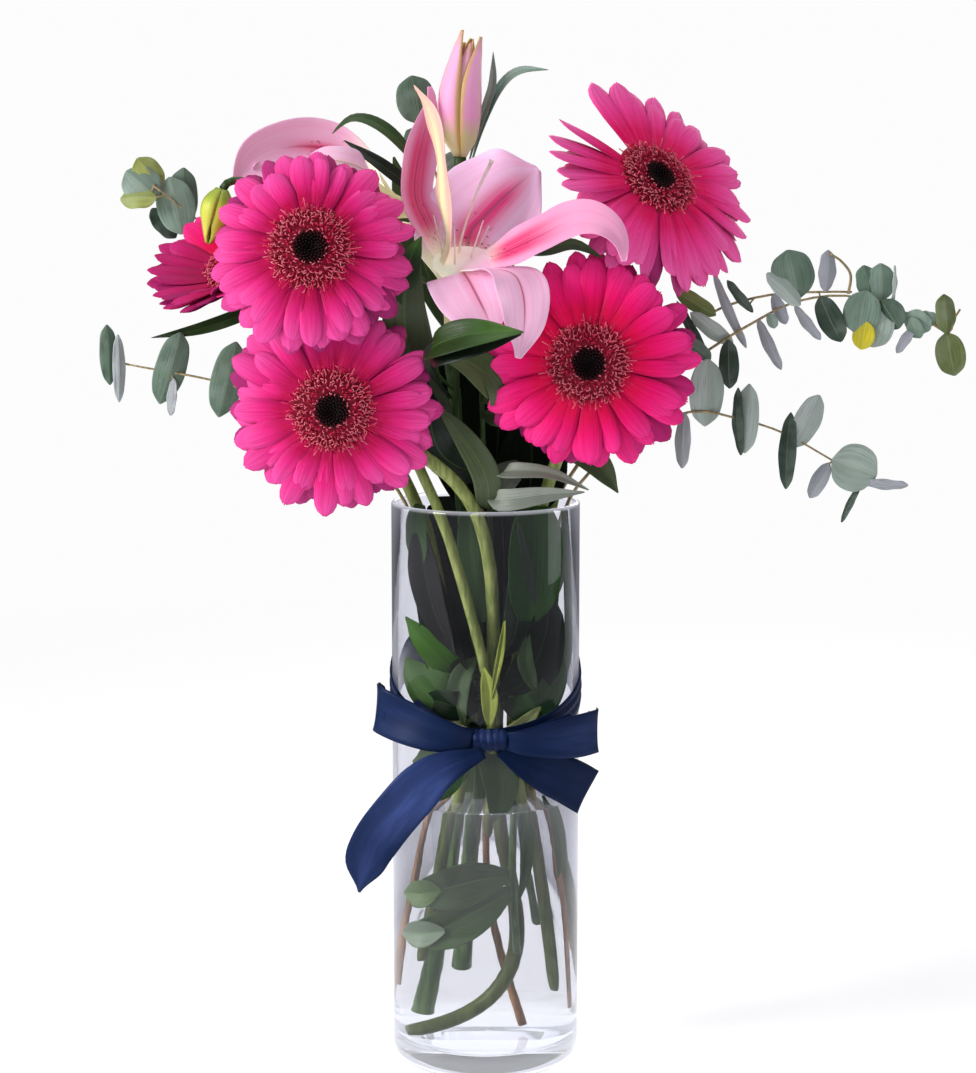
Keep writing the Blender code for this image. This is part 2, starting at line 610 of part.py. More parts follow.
def make_bud(name, base, tip, profile, skin):
    """A bud turned about the line from its base to its tip; the profile is in shares of its length."""
    start, end = Vector(base), Vector(tip)
    length = (end - start).length
    outline = [(r, z * length) for r, z in profile]
    bud = turned(name, outline, 12, skin)
    bud.location = start * MM
    bud.rotation_euler = (end - start).to_track_quat("Z", "Y").to_euler()


def stalk(name, path, end_point, axis, radius, stem):
    """A side stalk that ends square to the flower that it carries."""
    along = Vector(axis).normalized()
    end = Vector(end_point) - along * GAP
    spine = smooth_path([*path, end - along * 8, end], 10)
    spine[-2] = end - along * 4
    return unite(stem, as_mesh(tube(name, spine, radius, None, CUTTERS)))


def make_lily():
    path = smooth_path(LILY_PATH, 14)
    stem = as_mesh(tube("lily_stem", path, LILY_STEM, LILY_GREEN, taper=0.8))
    channel("lily", path, LILY_STEM)
    along = Vector(LILY_AXIS).normalized()
    base = Vector(LILY_BASE)
    link = smooth_path([*STALK_PATH, base - along * 4], 6)
    unite(stem, as_mesh(tube("lily_stalk", link, STALK, None, CUTTERS)))
    receptacle("lily", LILY_BASE, LILY_AXIS, stem)
    bud_axis = Vector(BUD_TIP) - Vector(BUD_BASE)
    stalk("lily_bud_stalk", BUD_PATH, BUD_BASE, bud_axis, BUD_STALK, stem)
    grown = grown_from(path + smooth_path(BUD_PATH, 30), LILY_LEAVES)
    leaves = sheet_object("lily_leaves", [(p, f, LANCE_OUTLINE, w, 6) for p, f, w in grown],
                          LEAF_SHEET, None, CUTTERS)
    unite(stem, leaves)
    make_tepals(LILY_BASE, LILY_AXIS)
    style = smooth_path([base + along * GAP, *PISTIL_PATH], 12)
    tube("lily_pistil", style, PISTIL, LILY_PINK)
    make_bud("lily_bud", BUD_BASE, BUD_TIP, BUD_OUTLINE, LILY_PINK)


def make_back_lily():
    path = smooth_path(BACK_LILY_PATH, 15)
    stem = as_mesh(tube("back_lily_stem", path, BACK_LILY_STEM, LILY_GREEN, taper=0.75))
    channel("back_lily", path, BACK_LILY_STEM)
    along, first, second = axis_frame(BACK_LILY_AXIS)
    base = Vector(BACK_LILY_BASE)
    link = smooth_path([path[-2], base - along * 9, base - along * 4], 5)
    unite(stem, as_mesh(tube("back_lily_stalk", link, STALK, None, CUTTERS)))
    receptacle("back_lily", BACK_LILY_BASE, BACK_LILY_AXIS, stem)
    bud_axis = Vector(GREEN_BUD_TIP) - Vector(GREEN_BUD_BASE)
    stalk("green_bud_stalk", GREEN_BUD_PATH, GREEN_BUD_BASE, bud_axis, GREEN_BUD_STALK, stem)
    for name, (turn, wide, share) in BACK_LILY_TEPALS.items():
        angle = math.radians(turn)
        out = first * math.cos(angle) + second * math.sin(angle)
        shift = 0.0 if wide else OUTER_SHIFT
        midrib = [base + along * (h if h <= BACK_TUBE else BACK_TUBE + (h - BACK_TUBE) * share)
                  + out * (r + shift * (1 + h / BACK_TUBE)) for h, r in BACK_MIDRIB]
        width = (WIDE_TEPAL if wide else NARROW_TEPAL) * HALF_OPEN
        make_tepal(name, midrib, -out, -out, width, HALF_OPEN_CAMBER)
    make_bud("green_bud", GREEN_BUD_BASE, GREEN_BUD_TIP, GREEN_BUD_OUTLINE, LILY_LIME)


# ================================================================ eucalyptus and other leaves
def leaf_on_twig(path, back, roll, lean, length, width):
    """A round leaf on a twig: roll 0 faces the front, and lean is its angle to the twig."""
    lengths = [0.0]
    for a, b in zip(path[::-1], path[-2::-1]):
        lengths.append(lengths[-1] + (b - a).length)
    i = max(k for k, so_far in enumerate(lengths) if so_far <= back)
    i = min(i, len(path) - 2)
    share = (back - lengths[i]) / (lengths[i + 1] - lengths[i])
    root = path[-1 - i].lerp(path[-2 - i], share)
    along = (path[-1 - i] - path[-2 - i]).normalized()
    front = Vector((0, -1, 0))
    front = (front - along * front.dot(along)).normalized()
    up = along.cross(front)
    if up.z < 0:
        up = -up
    roll = math.radians(roll)
    lean = math.radians(lean)
    out = front * math.cos(roll) + up * math.sin(roll)
    direction = out * math.sin(lean) + along * math.cos(lean)
    normal = along * math.sin(lean) - out * math.cos(lean)
    return ([root, root + direction * length * 0.5 - normal * length * 0.03, root + direction * length],
            normal, ROUND_OUTLINE, width, 4)


def make_sprig(name, spec):
    path = smooth_path(spec["path"], 18)
    twig = as_mesh(tube(name, path, SPRIG, EUCALYPTUS, taper=0.6))
    channel(name, path, SPRIG)
    leaves = [leaf_on_twig(path, *leaf) for leaf in spec["leaves"]]
    unite(twig, sheet_object(name + "_leaves", leaves, LEAF_SHEET, None, CUTTERS))


def make_foliage(name, spec):
    path = smooth_path(spec["path"], 16)
    twig = as_mesh(tube(name, path, SPRIG, LILY_GREEN, taper=0.8))
    channel(name, path, SPRIG)
    grown = grown_from(path, spec["leaves"])
    blades = [(p, f, LANCE_OUTLINE, w, 5) for p, f, w in grown]
    unite(twig, sheet_object(name + "_leaves", blades, LEAF_SHEET, None, CUTTERS))
    wet = [(p, f, LANCE_OUTLINE, w + 2 * GAP, 5) for p, f, w in grown if p[0].z < WATER_LEVEL]
    if wet:
        sheet_object(name + "_leaf_room", wet, LEAF_SHEET + 2 * GAP, None, CHANNELS)


make_vase()
make_band()
make_knot()
make_bow()
for gerbera, details in GERBERAS.items():
    make_gerbera(gerbera, details)
make_lily()
make_back_lily()
for sprig, details in SPRIGS.items():
    make_sprig(sprig, details)
for branch, details in FOLIAGE.items():
    make_foliage(branch, details)
make_water()
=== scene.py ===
# %% [markdown]
# # Lilies and gerberas in a cylinder vase, tied with a satin bow
# Five hot pink gerberas, an open pale pink lily with a bud above it, a second lily turned away behind,
# eucalyptus sprigs and dark glossy leaves stand in a clear glass vase half full of water.
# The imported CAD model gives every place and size, so each piece below is made where its CAD node is.
# The frame has its origin at the middle of the vase's foot, +Z up and -Y towards the viewer.

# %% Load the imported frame
import math
import random

import bmesh
import bpy
from mathutils import Matrix, Vector


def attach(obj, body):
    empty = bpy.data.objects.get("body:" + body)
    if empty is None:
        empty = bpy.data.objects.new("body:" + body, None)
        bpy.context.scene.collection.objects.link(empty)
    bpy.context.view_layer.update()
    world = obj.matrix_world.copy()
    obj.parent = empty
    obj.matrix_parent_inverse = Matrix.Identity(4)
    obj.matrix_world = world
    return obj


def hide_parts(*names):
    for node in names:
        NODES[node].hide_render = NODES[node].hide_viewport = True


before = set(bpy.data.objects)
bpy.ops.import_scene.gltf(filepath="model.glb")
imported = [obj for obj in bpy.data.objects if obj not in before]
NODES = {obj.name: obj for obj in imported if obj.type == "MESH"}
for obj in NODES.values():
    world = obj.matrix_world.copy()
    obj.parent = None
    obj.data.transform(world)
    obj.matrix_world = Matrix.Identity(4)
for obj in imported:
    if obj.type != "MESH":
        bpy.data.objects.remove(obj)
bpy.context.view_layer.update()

SCENE = bpy.context.scene
MM = 0.001
UP = Vector((0, 0, 1))


# %% [markdown]
# ## Camera, floor and light
# A product picture on white needs a pale floor that runs out to white with no horizon, broad soft lamps
# and a dimmer room for what is mirrored, because clear glass is only seen by what it bends into its edges.
# The camera looks down a little from about a metre and a third away.

# %% Camera
CAMERA_PLACE = (0.0013, -1.300, 0.469)
CAMERA_DROP = 8.03             # degrees below level
LENS = 82.9

camera_data = bpy.data.cameras.new("studio_camera")
camera_data.lens = LENS
camera_data.sensor_width = 36.0
camera = bpy.data.objects.new("studio_camera", camera_data)
camera.location = CAMERA_PLACE
camera.rotation_euler = (math.radians(90 - CAMERA_DROP), 0, 0)
SCENE.collection.objects.link(camera)
SCENE.camera = camera
SCENE.view_settings.view_transform = "Standard"
print("camera lens", LENS, "mm")

# %% [markdown]
# Shader nodes are laid out by a few helpers, so that each finish below reads like a recipe. They work on
# one node tree at a time, the one on the bench. A value may be a number, a colour or another node's
# output, and plug() does the right thing with it.

# %% Node helpers
def work_on(tree):
    """Put this node tree on the bench."""
    global bench
    bench = tree
    return tree


def plug(socket, value):
    """Join an output to this input, or set a number or colour on it."""
    if isinstance(value, bpy.types.NodeSocket):
        bench.links.new(value, socket)
    elif hasattr(value, "__len__") and socket.type == "RGBA" and len(value) == 3:
        socket.default_value = (*value, 1.0)
    else:
        socket.default_value = value


def add(kind, sockets=None, **settings):
    node = bench.nodes.new("ShaderNode" + kind)
    for key, value in settings.items():
        setattr(node, key, value)
    for key, value in (sockets or {}).items():
        plug(node.inputs[key], value)
    return node


def calc(how, first, second=0.0):
    return add("Math", {0: first, 1: second}, operation=how).outputs[0]


def times(first, *others):
    for other in others:
        first = calc("MULTIPLY", first, other)
    return first


def spread(value, low, high, new_low=0.0, new_high=1.0):
    """Map low..high to new_low..new_high along a soft S, and hold it there."""
    return add("MapRange", {0: value, 1: low, 2: high, 3: new_low, 4: new_high},
               interpolation_type="SMOOTHSTEP").outputs[0]


def mix(share, first, second, how="MIX"):
    return add("Mix", {0: share, 6: first, 7: second}, data_type="RGBA", blend_type=how).outputs[2]


# %% World
WHITE, BLACK = (0.98, 0.98, 0.98), (0, 0, 0)
DOME_LOW, DOME_HIGH = (0.25, 0.25, 0.28), (0.44, 0.44, 0.46)
MIRRORED = 0.25                # shiny things see a darker room, so that they keep their depth of colour
THROUGH = (0.86, 0.86, 0.98)   # the room as it is seen through the glass
OFF_WALL = (0.03, 0.03, 0.035)  # the room mirrored on the inside of the glass: dim, so that leaves stay deep
MANY_FACES = 4.5               # a ray that has gone through more faces than this is deep inside the vase


def seen_through(ray):
    """1 where the camera looks through the glass, 0 for light on its way from a leaf."""
    return times(ray["Is Transmission Ray"], calc("LESS_THAN", ray["Diffuse Depth"], 0.5))


def off_the_wall(ray):
    """1 where what is seen through the glass was first mirrored once in its near wall."""
    return times(calc("COMPARE", ray["Glossy Depth"], 1.0),
                 calc("LESS_THAN", ray["Transmission Depth"], MANY_FACES))


world = bpy.data.worlds.new("white_studio")
SCENE.world = world
world.use_nodes = True
work_on(world.node_tree).nodes.clear()
towards = add("SeparateXYZ", {0: add("TexCoord").outputs["Generated"]}).outputs
dome = mix(spread(towards["Z"], -0.3, 0.8), DOME_LOW, DOME_HIGH)
ray = add("LightPath").outputs
shine = add("Background", {"Color": dome, "Strength": 1.0}).outputs[0]
for kind, colour, strength in ((ray["Is Glossy Ray"], dome, MIRRORED),
                               (seen_through(ray), mix(off_the_wall(ray), THROUGH, OFF_WALL), 1.0),
                               (ray["Is Camera Ray"], WHITE, 1.0)):
    other = add("Background", {"Color": colour, "Strength": strength}).outputs[0]
    shine = add("MixShader", {0: kind, 1: shine, 2: other}).outputs[0]
plug(add("OutputWorld").inputs["Surface"], shine)
print("world: white to the camera, soft grey dome to the flowers")

# %% Lamps
LAMP_TARGET = Vector((0, 0, 0.36))
# name: place, width and height in metres, watts, colour
LAMPS = {
    "key_softbox": ((-1.60, -0.80, 0.90), 0.6, 0.8, 27.0, (1.0, 0.985, 0.97)),
    "fill_softbox": ((1.68, 0.05, 0.65), 0.7, 1.1, 2.8, (0.95, 0.97, 1.0)),
    "top_softbox": ((0.1, 0.25, 1.75), 0.9, 0.9, 6.0, (1.0, 1.0, 1.0)),
    "back_softbox": ((0.4, 1.5, 0.9), 1.0, 0.8, 6.0, (1.0, 0.99, 0.98)),
}
for name, (place, width, height, watts, colour) in LAMPS.items():
    light = bpy.data.lights.new(name, "AREA")
    light.shape = "RECTANGLE"
    light.size, light.size_y = width, height
    light.energy = watts
    light.color = colour
    lamp = bpy.data.objects.new(name, light)
    lamp.location = place
    lamp.rotation_euler = (LAMP_TARGET - Vector(place)).to_track_quat("-Z", "Y").to_euler()
    lamp.visible_camera = lamp.visible_transmission = False
    SCENE.collection.objects.link(lamp)
print("lamps:", ", ".join(LAMPS))

# %% [markdown]
# ## Shared effects
# Petals, leaves and ribbons all carry fine lines that run from root to tip. Each sheet stores at every
# vertex how far along and how far across it lies, so one node group can draw lines that follow any sheet,
# however it bends. A second group gives the soft blotches that break up stems, cups and glass.

# %% Shared shader groups
def reading(name):
    """A number stored at each vertex: along, across or tone."""
    return add("Attribute", attribute_name=name).outputs["Fac"]


def noise(place, size, roughness=0.5):
    return add("TexNoise", {"Vector": place, "Scale": size, "Detail": 3.0, "Roughness": roughness}).outputs[0]


def point(x, y, z):
    return add("CombineXYZ", {0: x, 1: y, 2: z}).outputs[0]


def object_place():
    return add("TexCoord").outputs["Object"]


def new_group(name, numbers, results):
    """Put a new shared group on the bench; give back the group, its inputs and its results."""
    group = work_on(bpy.data.node_groups.new(name, "ShaderNodeTree"))
    for title, value in numbers.items():
        group.interface.new_socket(title, in_out="INPUT", socket_type="NodeSocketFloat").default_value = value
    for title in results:
        group.interface.new_socket(title, in_out="OUTPUT", socket_type="NodeSocketFloat")
    return group, group.nodes.new("NodeGroupInput").outputs, group.nodes.new("NodeGroupOutput").inputs


TONE_STRIDE = 53.0             # how far apart the lines' pattern is read for tones 0 and 1
GROWTH_LINES, given, result = new_group("growth_lines", {"Lines": 8.0, "Waver": 1.5, "Low": 0.42,
                                                         "High": 0.62}, ["Mask", "Height"])
lines = noise(point(times(reading("across"), given["Lines"]), times(reading("along"), given["Waver"]),
                    times(reading("tone"), TONE_STRIDE)), 1.0, 0.6)
plug(result["Mask"], spread(lines, given["Low"], given["High"]))
plug(result["Height"], lines)

BLOTCHES, given, result = new_group("blotches", {"Size": 200.0, "Low": 0.4, "High": 0.65}, ["Mask", "Height"])
blotches = noise(object_place(), given["Size"])
plug(result["Mask"], spread(blotches, given["Low"], given["High"]))
plug(result["Height"], blotches)
print("shared groups:", GROWTH_LINES.name, "and", BLOTCHES.name)

# %% Finish helpers
def effect(group, **values):
    """Place a shared group in a finish, with its own values."""
    return add("Group", values, node_tree=group).outputs


def coat(skin, **values):
    """Plug values into a finish's shader; Base_Color stands for its Base Color."""
    shader = skin.node_tree.nodes["Principled BSDF"]
    for key, value in values.items():
        plug(shader.inputs[key.replace("_", " ")], value)
    return skin


def new_finish(name, **plain):
    """Put a new material on the bench; its plain values go straight on the shader."""
    skin = bpy.data.materials.new(name)
    skin.use_nodes = True
    work_on(skin.node_tree)
    print("finish:", name)
    return coat(skin, Metallic=0.0, **plain)


def layered(colour, *layers):
    """A colour with others laid over it in turn; each layer is its share and its colour."""
    for share, over in layers:
        colour = mix(share, colour, over)
    return colour


def ramp(value, stops):
    """A colour ramp; stops are (place, colour) from low to high."""
    node = add("ValToRGB", {0: value})
    marks = node.color_ramp.elements
    while len(marks) < len(stops):
        marks.new(0.5)
    for mark, (place, colour) in zip(marks, stops):
        mark.position = place
        mark.color = (*colour, 1.0)
    return node.outputs[0]


def readings():
    """The three stored numbers, and how far a point is off the midrib, to either side."""
    along, across, tone = (reading(name) for name in ("along", "across", "tone"))
    return along, across, tone, calc("ABSOLUTE", across)


def height_up():
    """How high a point of the object is, in metres."""
    return add("SeparateXYZ", {0: object_place()}).outputs["Z"]


def edge_on(blend):
    """0 where a surface faces the eye, rising to 1 where it is seen edge on."""
    return add("LayerWeight", {"Blend": blend}).outputs["Facing"]


def relief(height, distance, strength=0.6):
    return add("Bump", {"Height": height, "Distance": distance, "Strength": strength}).outputs[0]


# %% Floor
FLOOR_COLOUR = (0.80, 0.80, 0.81)
FLOOR_GLOW = (0.30, 0.30, 0.30)  # its light of its own, near the vase
GLOW_MIRRORED = (0.10, 0.10, 0.12)
# the floor's own light as it is seen through the glass, near the vase and far off
GLOW_THROUGH_NEAR, GLOW_THROUGH_FAR = (0.88, 0.87, 0.93), (0.86, 0.86, 0.96)
OFF_WALL_NEAR = (0.50, 0.50, 0.56)
FLOOR_RADIUS, FLOOR_DROP = 9.0, 0.0002
WHITE_FROM, WHITE_BY = 0.25, 1.6  # metres from the vase

skin = new_finish("studio_floor", Roughness=0.8, Specular_IOR_Level=0.0)
away = add("VectorMath", {0: object_place()}, operation="LENGTH").outputs["Value"]
far = spread(away, WHITE_FROM, WHITE_BY)
ray = add("LightPath").outputs
through = seen_through(ray)
near_colour = mix(effect(BLOTCHES, Size=6.0)["Mask"], FLOOR_COLOUR, tuple(c * 1.02 for c in FLOOR_COLOUR))
glow = mix(ray["Is Glossy Ray"], mix(far, FLOOR_GLOW, WHITE), GLOW_MIRRORED)
glow_through = mix(off_the_wall(ray), mix(far, GLOW_THROUGH_NEAR, GLOW_THROUGH_FAR),
                   mix(far, OFF_WALL_NEAR, OFF_WALL))
coat(skin, Base_Color=mix(through, mix(far, near_colour, BLACK), BLACK),
     Emission_Color=mix(through, glow, glow_through), Emission_Strength=1.0)
bm = bmesh.new()
bmesh.ops.create_circle(bm, cap_ends=True, segments=96, radius=FLOOR_RADIUS)
bmesh.ops.translate(bm, vec=(0, 0, -FLOOR_DROP), verts=bm.verts)
mesh = bpy.data.meshes.new("studio_floor")
bm.to_mesh(mesh)
bm.free()
mesh.materials.append(skin)
floor = bpy.data.objects.new("studio_floor", mesh)
SCENE.collection.objects.link(floor)
print(f"floor: {2 * FLOOR_RADIUS:.0f} m across, white from {WHITE_BY} m out")

# %% [markdown]
# ## Sheets and stems
# Nearly everything here is a thin sheet that bends along a midrib, or a round stem. A sheet starts as a flat
# grid: its long way is laid along a smooth curve, its short way is spread to the outline's width, and a
# camber, a furrow and a wavy edge are pressed into it. A stem is the same grid rolled up round the curve.
# This gives every petal its own bend, which copies of one petal would not have.

# %% Curves and outlines
CURVE_FINENESS = 12


def curve(before, start, end, after, t):
    """A smooth curve's value between start and end, with the values on either side of them."""
    return 0.5 * (2 * start + (end - before) * t + (2 * before - 5 * start + 4 * end - after) * t * t
                  + (3 * start - before - 3 * end + after) * t ** 3)


def smooth_path(points, steps):
    """A smooth curve through points given in millimetres, cut into equal steps; the result is in metres."""
    knots = [Vector(p) * MM for p in points]
    knots = [2 * knots[0] - knots[1], *knots, 2 * knots[-1] - knots[-2]]
    dense = [curve(*four, k / CURVE_FINENESS) for four in zip(knots, knots[1:], knots[2:], knots[3:])
             for k in range(CURVE_FINENESS)] + [knots[-2]]
    reach = [0.0]
    for a, b in zip(dense, dense[1:]):
        reach.append(reach[-1] + (b - a).length)
    path, k = [], 0
    for i in range(steps + 1):
        wanted = reach[-1] * i / steps
        while k < len(dense) - 2 and reach[k + 1] < wanted:
            k += 1
        path.append(dense[k].lerp(dense[k + 1], (wanted - reach[k]) / (reach[k + 1] - reach[k])))
    return path


def locate(values, share):
    """Which value lies at or before a share from 0 to 1, and how far on to the next one."""
    place = min(max(share, 0.0), 1.0) * (len(values) - 1)
    return int(place), place - int(place)


def between(values, share):
    """Read evenly spaced values as a broken line; a single value holds all the way."""
    left, t = locate(values, share)
    right = min(left + 1, len(values) - 1)
    return values[left] + (values[right] - values[left]) * t


def outline_at(values, share):
    """Read evenly spaced widths as a smooth curve."""
    left, t = locate(values, share)
    four = (values[min(max(left + k, 0), len(values) - 1)] for k in (-1, 0, 1, 2))
    return max(curve(*four, t), 0.0)


# %% Blades and tubes
FURROW_WIDTH = 0.22            # as a share of half the sheet's width
EDGE_LAG = 1.7                 # how far the two wavy edges are out of step, in radians


def fresh():
    """An empty mesh whose vertices can say how far along and across a sheet they lie, and its tone."""
    bm = bmesh.new()
    for name in ("along", "across", "tone"):
        bm.verts.layers.float.new(name)
    return bm


def mark(bm, vert, along, across, tone):
    layers = bm.verts.layers.float
    vert[layers["along"]], vert[layers["across"]], vert[layers["tone"]] = along, across, tone


def grid_points(bm, rows, columns):
    """A new flat grid's vertices, each with how far along (0 to 1) and across (-1 to 1) it lies."""
    for vert in bmesh.ops.create_grid(bm, x_segments=rows, y_segments=columns, size=0.5)["verts"]:
        yield vert, vert.co.x + 0.5, vert.co.y * 2


def headings(line):
    """The way a line runs at each of its points."""
    last = len(line) - 1
    return [(line[min(i + 1, last)] - line[max(i - 1, 0)]).normalized() for i in range(last + 1)]


def add_blade(bm, spine, faces, outline, width, tone, columns, camber, furrow=0.0, ruffle=0.0, waves=0.0,
              phase=0.0):
    """A sheet along a spine in metres; faces are the ways it looks, evenly spaced from root to tip."""
    rows = len(spine) - 1
    looks = [Vector(f).normalized() for f in faces]
    rungs = []
    for i, run in enumerate(headings(spine)):
        side = between(looks, i / rows).cross(run).normalized()
        rungs.append((side, run.cross(side)))
    for vert, along, across in grid_points(bm, rows, columns):
        i = round(along * rows)
        side, lift = rungs[i]
        half = width * MM / 2 * outline_at(outline, along)
        wave = ruffle * MM * abs(across) ** 3 * math.sin(waves * math.tau * along + phase + EDGE_LAG * across)
        dip = furrow * MM * math.exp(-(across / FURROW_WIDTH) ** 2) * math.sin(math.pi * along)
        mark(bm, vert, along, across, tone)
        vert.co = spine[i] + side * (half * across) + lift * (half * camber * across ** 2 + wave - dip)


def add_tube(bm, spine, radii, sides, tone=0.5):
    """A round stem along a spine in metres; radii in millimetres run evenly from root to tip."""
    line = [spine[0], *spine, spine[-1]]
    rows = len(line) - 1
    first = (spine[1] - spine[0]).orthogonal().normalized()
    rings = []
    for i, run in enumerate(headings(line)):
        first = (first - run * first.dot(run)).normalized()
        size = 0.0 if i in (0, rows) else between(radii, (i - 1) / (rows - 2)) * MM
        rings.append((first, first.cross(run), size))
    for vert, along, across in grid_points(bm, rows, sides):
        i = round(along * rows)
        turn = across * math.pi
        first, second, size = rings[i]
        mark(bm, vert, i / rows, across, tone)
        vert.co = line[i] + (first * math.cos(turn) + second * math.sin(turn)) * size


def add_turned(bm, profile, steps):
    """A profile of (radius, height) in millimetres turned once round the Z axis."""
    verts = [bm.verts.new((r * MM, 0, z * MM)) for r, z in profile]
    edges = [bm.edges.new(pair) for pair in zip(verts, verts[1:])]
    for k, vert in enumerate(verts):
        mark(bm, vert, k / (len(verts) - 1), 0.0, 0.5)
    bmesh.ops.spin(bm, geom=verts + edges, cent=(0, 0, 0), axis=(0, 0, 1), angle=math.tau,
                   steps=steps, use_merge=True, use_duplicate=False)


def arc(centre, radius, start, stop, steps=6):
    """Points of an arc in a turned profile; angles in degrees."""
    turns = [math.radians(start + (stop - start) * i / steps) for i in range(steps + 1)]
    return [(centre[0] + radius * math.cos(t), centre[1] + radius * math.sin(t)) for t in turns]


# %% From mesh to piece
MERGE = 0.000001
MADE = []


def make_piece(name, bm, finishes, nodes, thickness=0.0, offset=0.0, rounder=0, closed=False):
    """Turn a mesh into a finished piece that rides with the model and stands for its CAD nodes."""
    bmesh.ops.remove_doubles(bm, verts=bm.verts, dist=MERGE)
    if closed:
        bmesh.ops.recalc_face_normals(bm, faces=bm.faces)
    mesh = bpy.data.meshes.new(name)
    bm.to_mesh(mesh)
    bm.free()
    for skin in finishes:
        mesh.materials.append(skin)
    mesh.shade_smooth()
    piece = bpy.data.objects.new(name, mesh)
    SCENE.collection.objects.link(piece)
    if thickness:
        wall = piece.modifiers.new("thickness", "SOLIDIFY")
        wall.thickness = thickness * MM
        wall.offset = offset
        wall.material_offset = len(finishes) - 1
        wall.material_offset_rim = 0
    if rounder:
        soft = piece.modifiers.new("rounder", "SUBSURF")
        soft.levels = soft.render_levels = rounder
    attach(piece, "root")
    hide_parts(*nodes)
    MADE.append(name)
    print(f"{name}: {len(mesh.polygons)} faces for {', '.join(nodes)}")
    return piece


# %% [markdown]
# ## Vase and water
# The vase is a straight cylinder blown into a mould, with a thick floor and a fire-polished rim. One profile
# of its wall is turned round the axis. The water is a second turned solid that reaches a hair into the
# glass, so light passes from one to the other with no film of air, and its surface climbs where it meets
# the wall.

# %% Vase and water sizes
VASE_RADIUS, VASE_HEIGHT, WALL, VASE_FLOOR = 50.0, 305.0, 3.0, 14.0
FOOT_ROUND, INNER_ROUND, WATER_LEVEL = 10.0, 8.0, 145.0
BORE = VASE_RADIUS - WALL
TURN_STEPS = 96
print(f"vase: {2 * VASE_RADIUS:.0f} mm wide, {VASE_HEIGHT:.0f} mm high, water up to {WATER_LEVEL:.0f} mm")

# %% Glass and water finishes
# painted glow: the white room's light is painted into the steep sides of the glass, its fire-polished rim and
# its foot
GLASS_EDGE_PAINTED_GLOW, RIM_PAINTED_GLOW, FOOT_PAINTED_GLOW = (0.11, 0.11, 0.13), (0.18, 0.18, 0.20), (0.11, 0.113, 0.118)
RIM_FROM, RIM_BY = (VASE_HEIGHT - 2.5) * MM, (VASE_HEIGHT - 0.8) * MM
FOOT_FROM, FOOT_BY = 0.010, 0.020
GLASS = new_finish("clear_glass", Base_Color=(0.955, 0.965, 0.975), Roughness=0.0, IOR=1.47,
                   Transmission_Weight=1.0, Specular_IOR_Level=0.5)
height = height_up()
coat(GLASS, Normal=relief(effect(BLOTCHES, Size=28.0)["Height"], 0.0004, 0.25), Emission_Strength=1.0,
     Emission_Color=layered(mix(spread(edge_on(0.5), 0.42, 0.84), BLACK, GLASS_EDGE_PAINTED_GLOW),
                            (spread(height, FOOT_FROM, FOOT_BY, 1.0, 0.0), FOOT_PAINTED_GLOW),
                            (spread(height, RIM_FROM, RIM_BY), RIM_PAINTED_GLOW)))

# painted glow at the steep sides of the water
WATER_EDGE_PAINTED_GLOW = (0.07, 0.07, 0.08)
WATER = new_finish("still_water", Base_Color=(0.98, 0.98, 0.985), Roughness=0.0, IOR=1.33,
                   Transmission_Weight=1.0)
coat(WATER, Normal=relief(effect(BLOTCHES, Size=40.0)["Height"], 0.0003, 0.15), Emission_Strength=1.0,
     Emission_Color=mix(spread(edge_on(0.5), 0.30, 0.60), BLACK, WATER_EDGE_PAINTED_GLOW))

# %% Vase and water
bm = fresh()
add_turned(bm, [(0, VASE_FLOOR), *arc((BORE - INNER_ROUND, VASE_FLOOR + INNER_ROUND), INNER_ROUND, -90, 0),
                (BORE, 90), (BORE, 160), (BORE, 230),
                *arc((VASE_RADIUS - WALL / 2, VASE_HEIGHT - WALL / 2), WALL / 2, 180, 0, 8),
                (VASE_RADIUS, 230), (VASE_RADIUS, 160), (VASE_RADIUS, 90),
                *arc((VASE_RADIUS - FOOT_ROUND, FOOT_ROUND), FOOT_ROUND, 0, -90), (0, 0)], TURN_STEPS)
vase = make_piece("glass_vase", bm, [GLASS], ["vase"], closed=True)

WATER_IN_GLASS = 0.15          # how far the water reaches into the wall
WATER_CLIMB = [(3.0, 0.0), (1.2, 0.4), (0.0, 1.8)]  # in from its side, and up from its level
side = BORE + WATER_IN_GLASS
bm = fresh()
add_turned(bm, [(0, WATER_LEVEL), *((side - inwards, WATER_LEVEL + climb) for inwards, climb in WATER_CLIMB),
                *arc((BORE - INNER_ROUND, VASE_FLOOR + INNER_ROUND), INNER_ROUND + WATER_IN_GLASS, 0, -90),
                (0, VASE_FLOOR - WATER_IN_GLASS)], TURN_STEPS)
water = make_piece("water_in_vase", bm, [WATER], ["water"], closed=True)
for clear in (vase, water):
    clear.visible_shadow = False

# %% [markdown]
# ## Satin ribbon
# One ribbon, 25 mm wide, goes round the vase, and a second piece makes the bow. Satin is smooth and
# shows a broad purple-blue sheen where it bends, from fine threads that all run along it; here that sheen
# is painted into the cloth's colour. The cloth is gathered at the knot, so folds fan out from there.

# %% Satin finish
# the navy of the cloth, and the purple-blue of its painted sheen
NAVY, NAVY_PAINTED_SHEEN = (0.0025, 0.011, 0.045), (0.046, 0.080, 0.26)

SATIN = new_finish("navy_satin", Roughness=0.36, Anisotropic=0.5, Sheen_Weight=0.01,
                   Sheen_Roughness=0.35, Sheen_Tint=(0.25, 0.30, 0.75), Specular_IOR_Level=0.10)
along, across, tone, off = readings()
threads = effect(GROWTH_LINES, Lines=60.0, Waver=2.0)
folds = effect(GROWTH_LINES, Lines=1.1, Waver=1.6, Low=0.25, High=0.75)
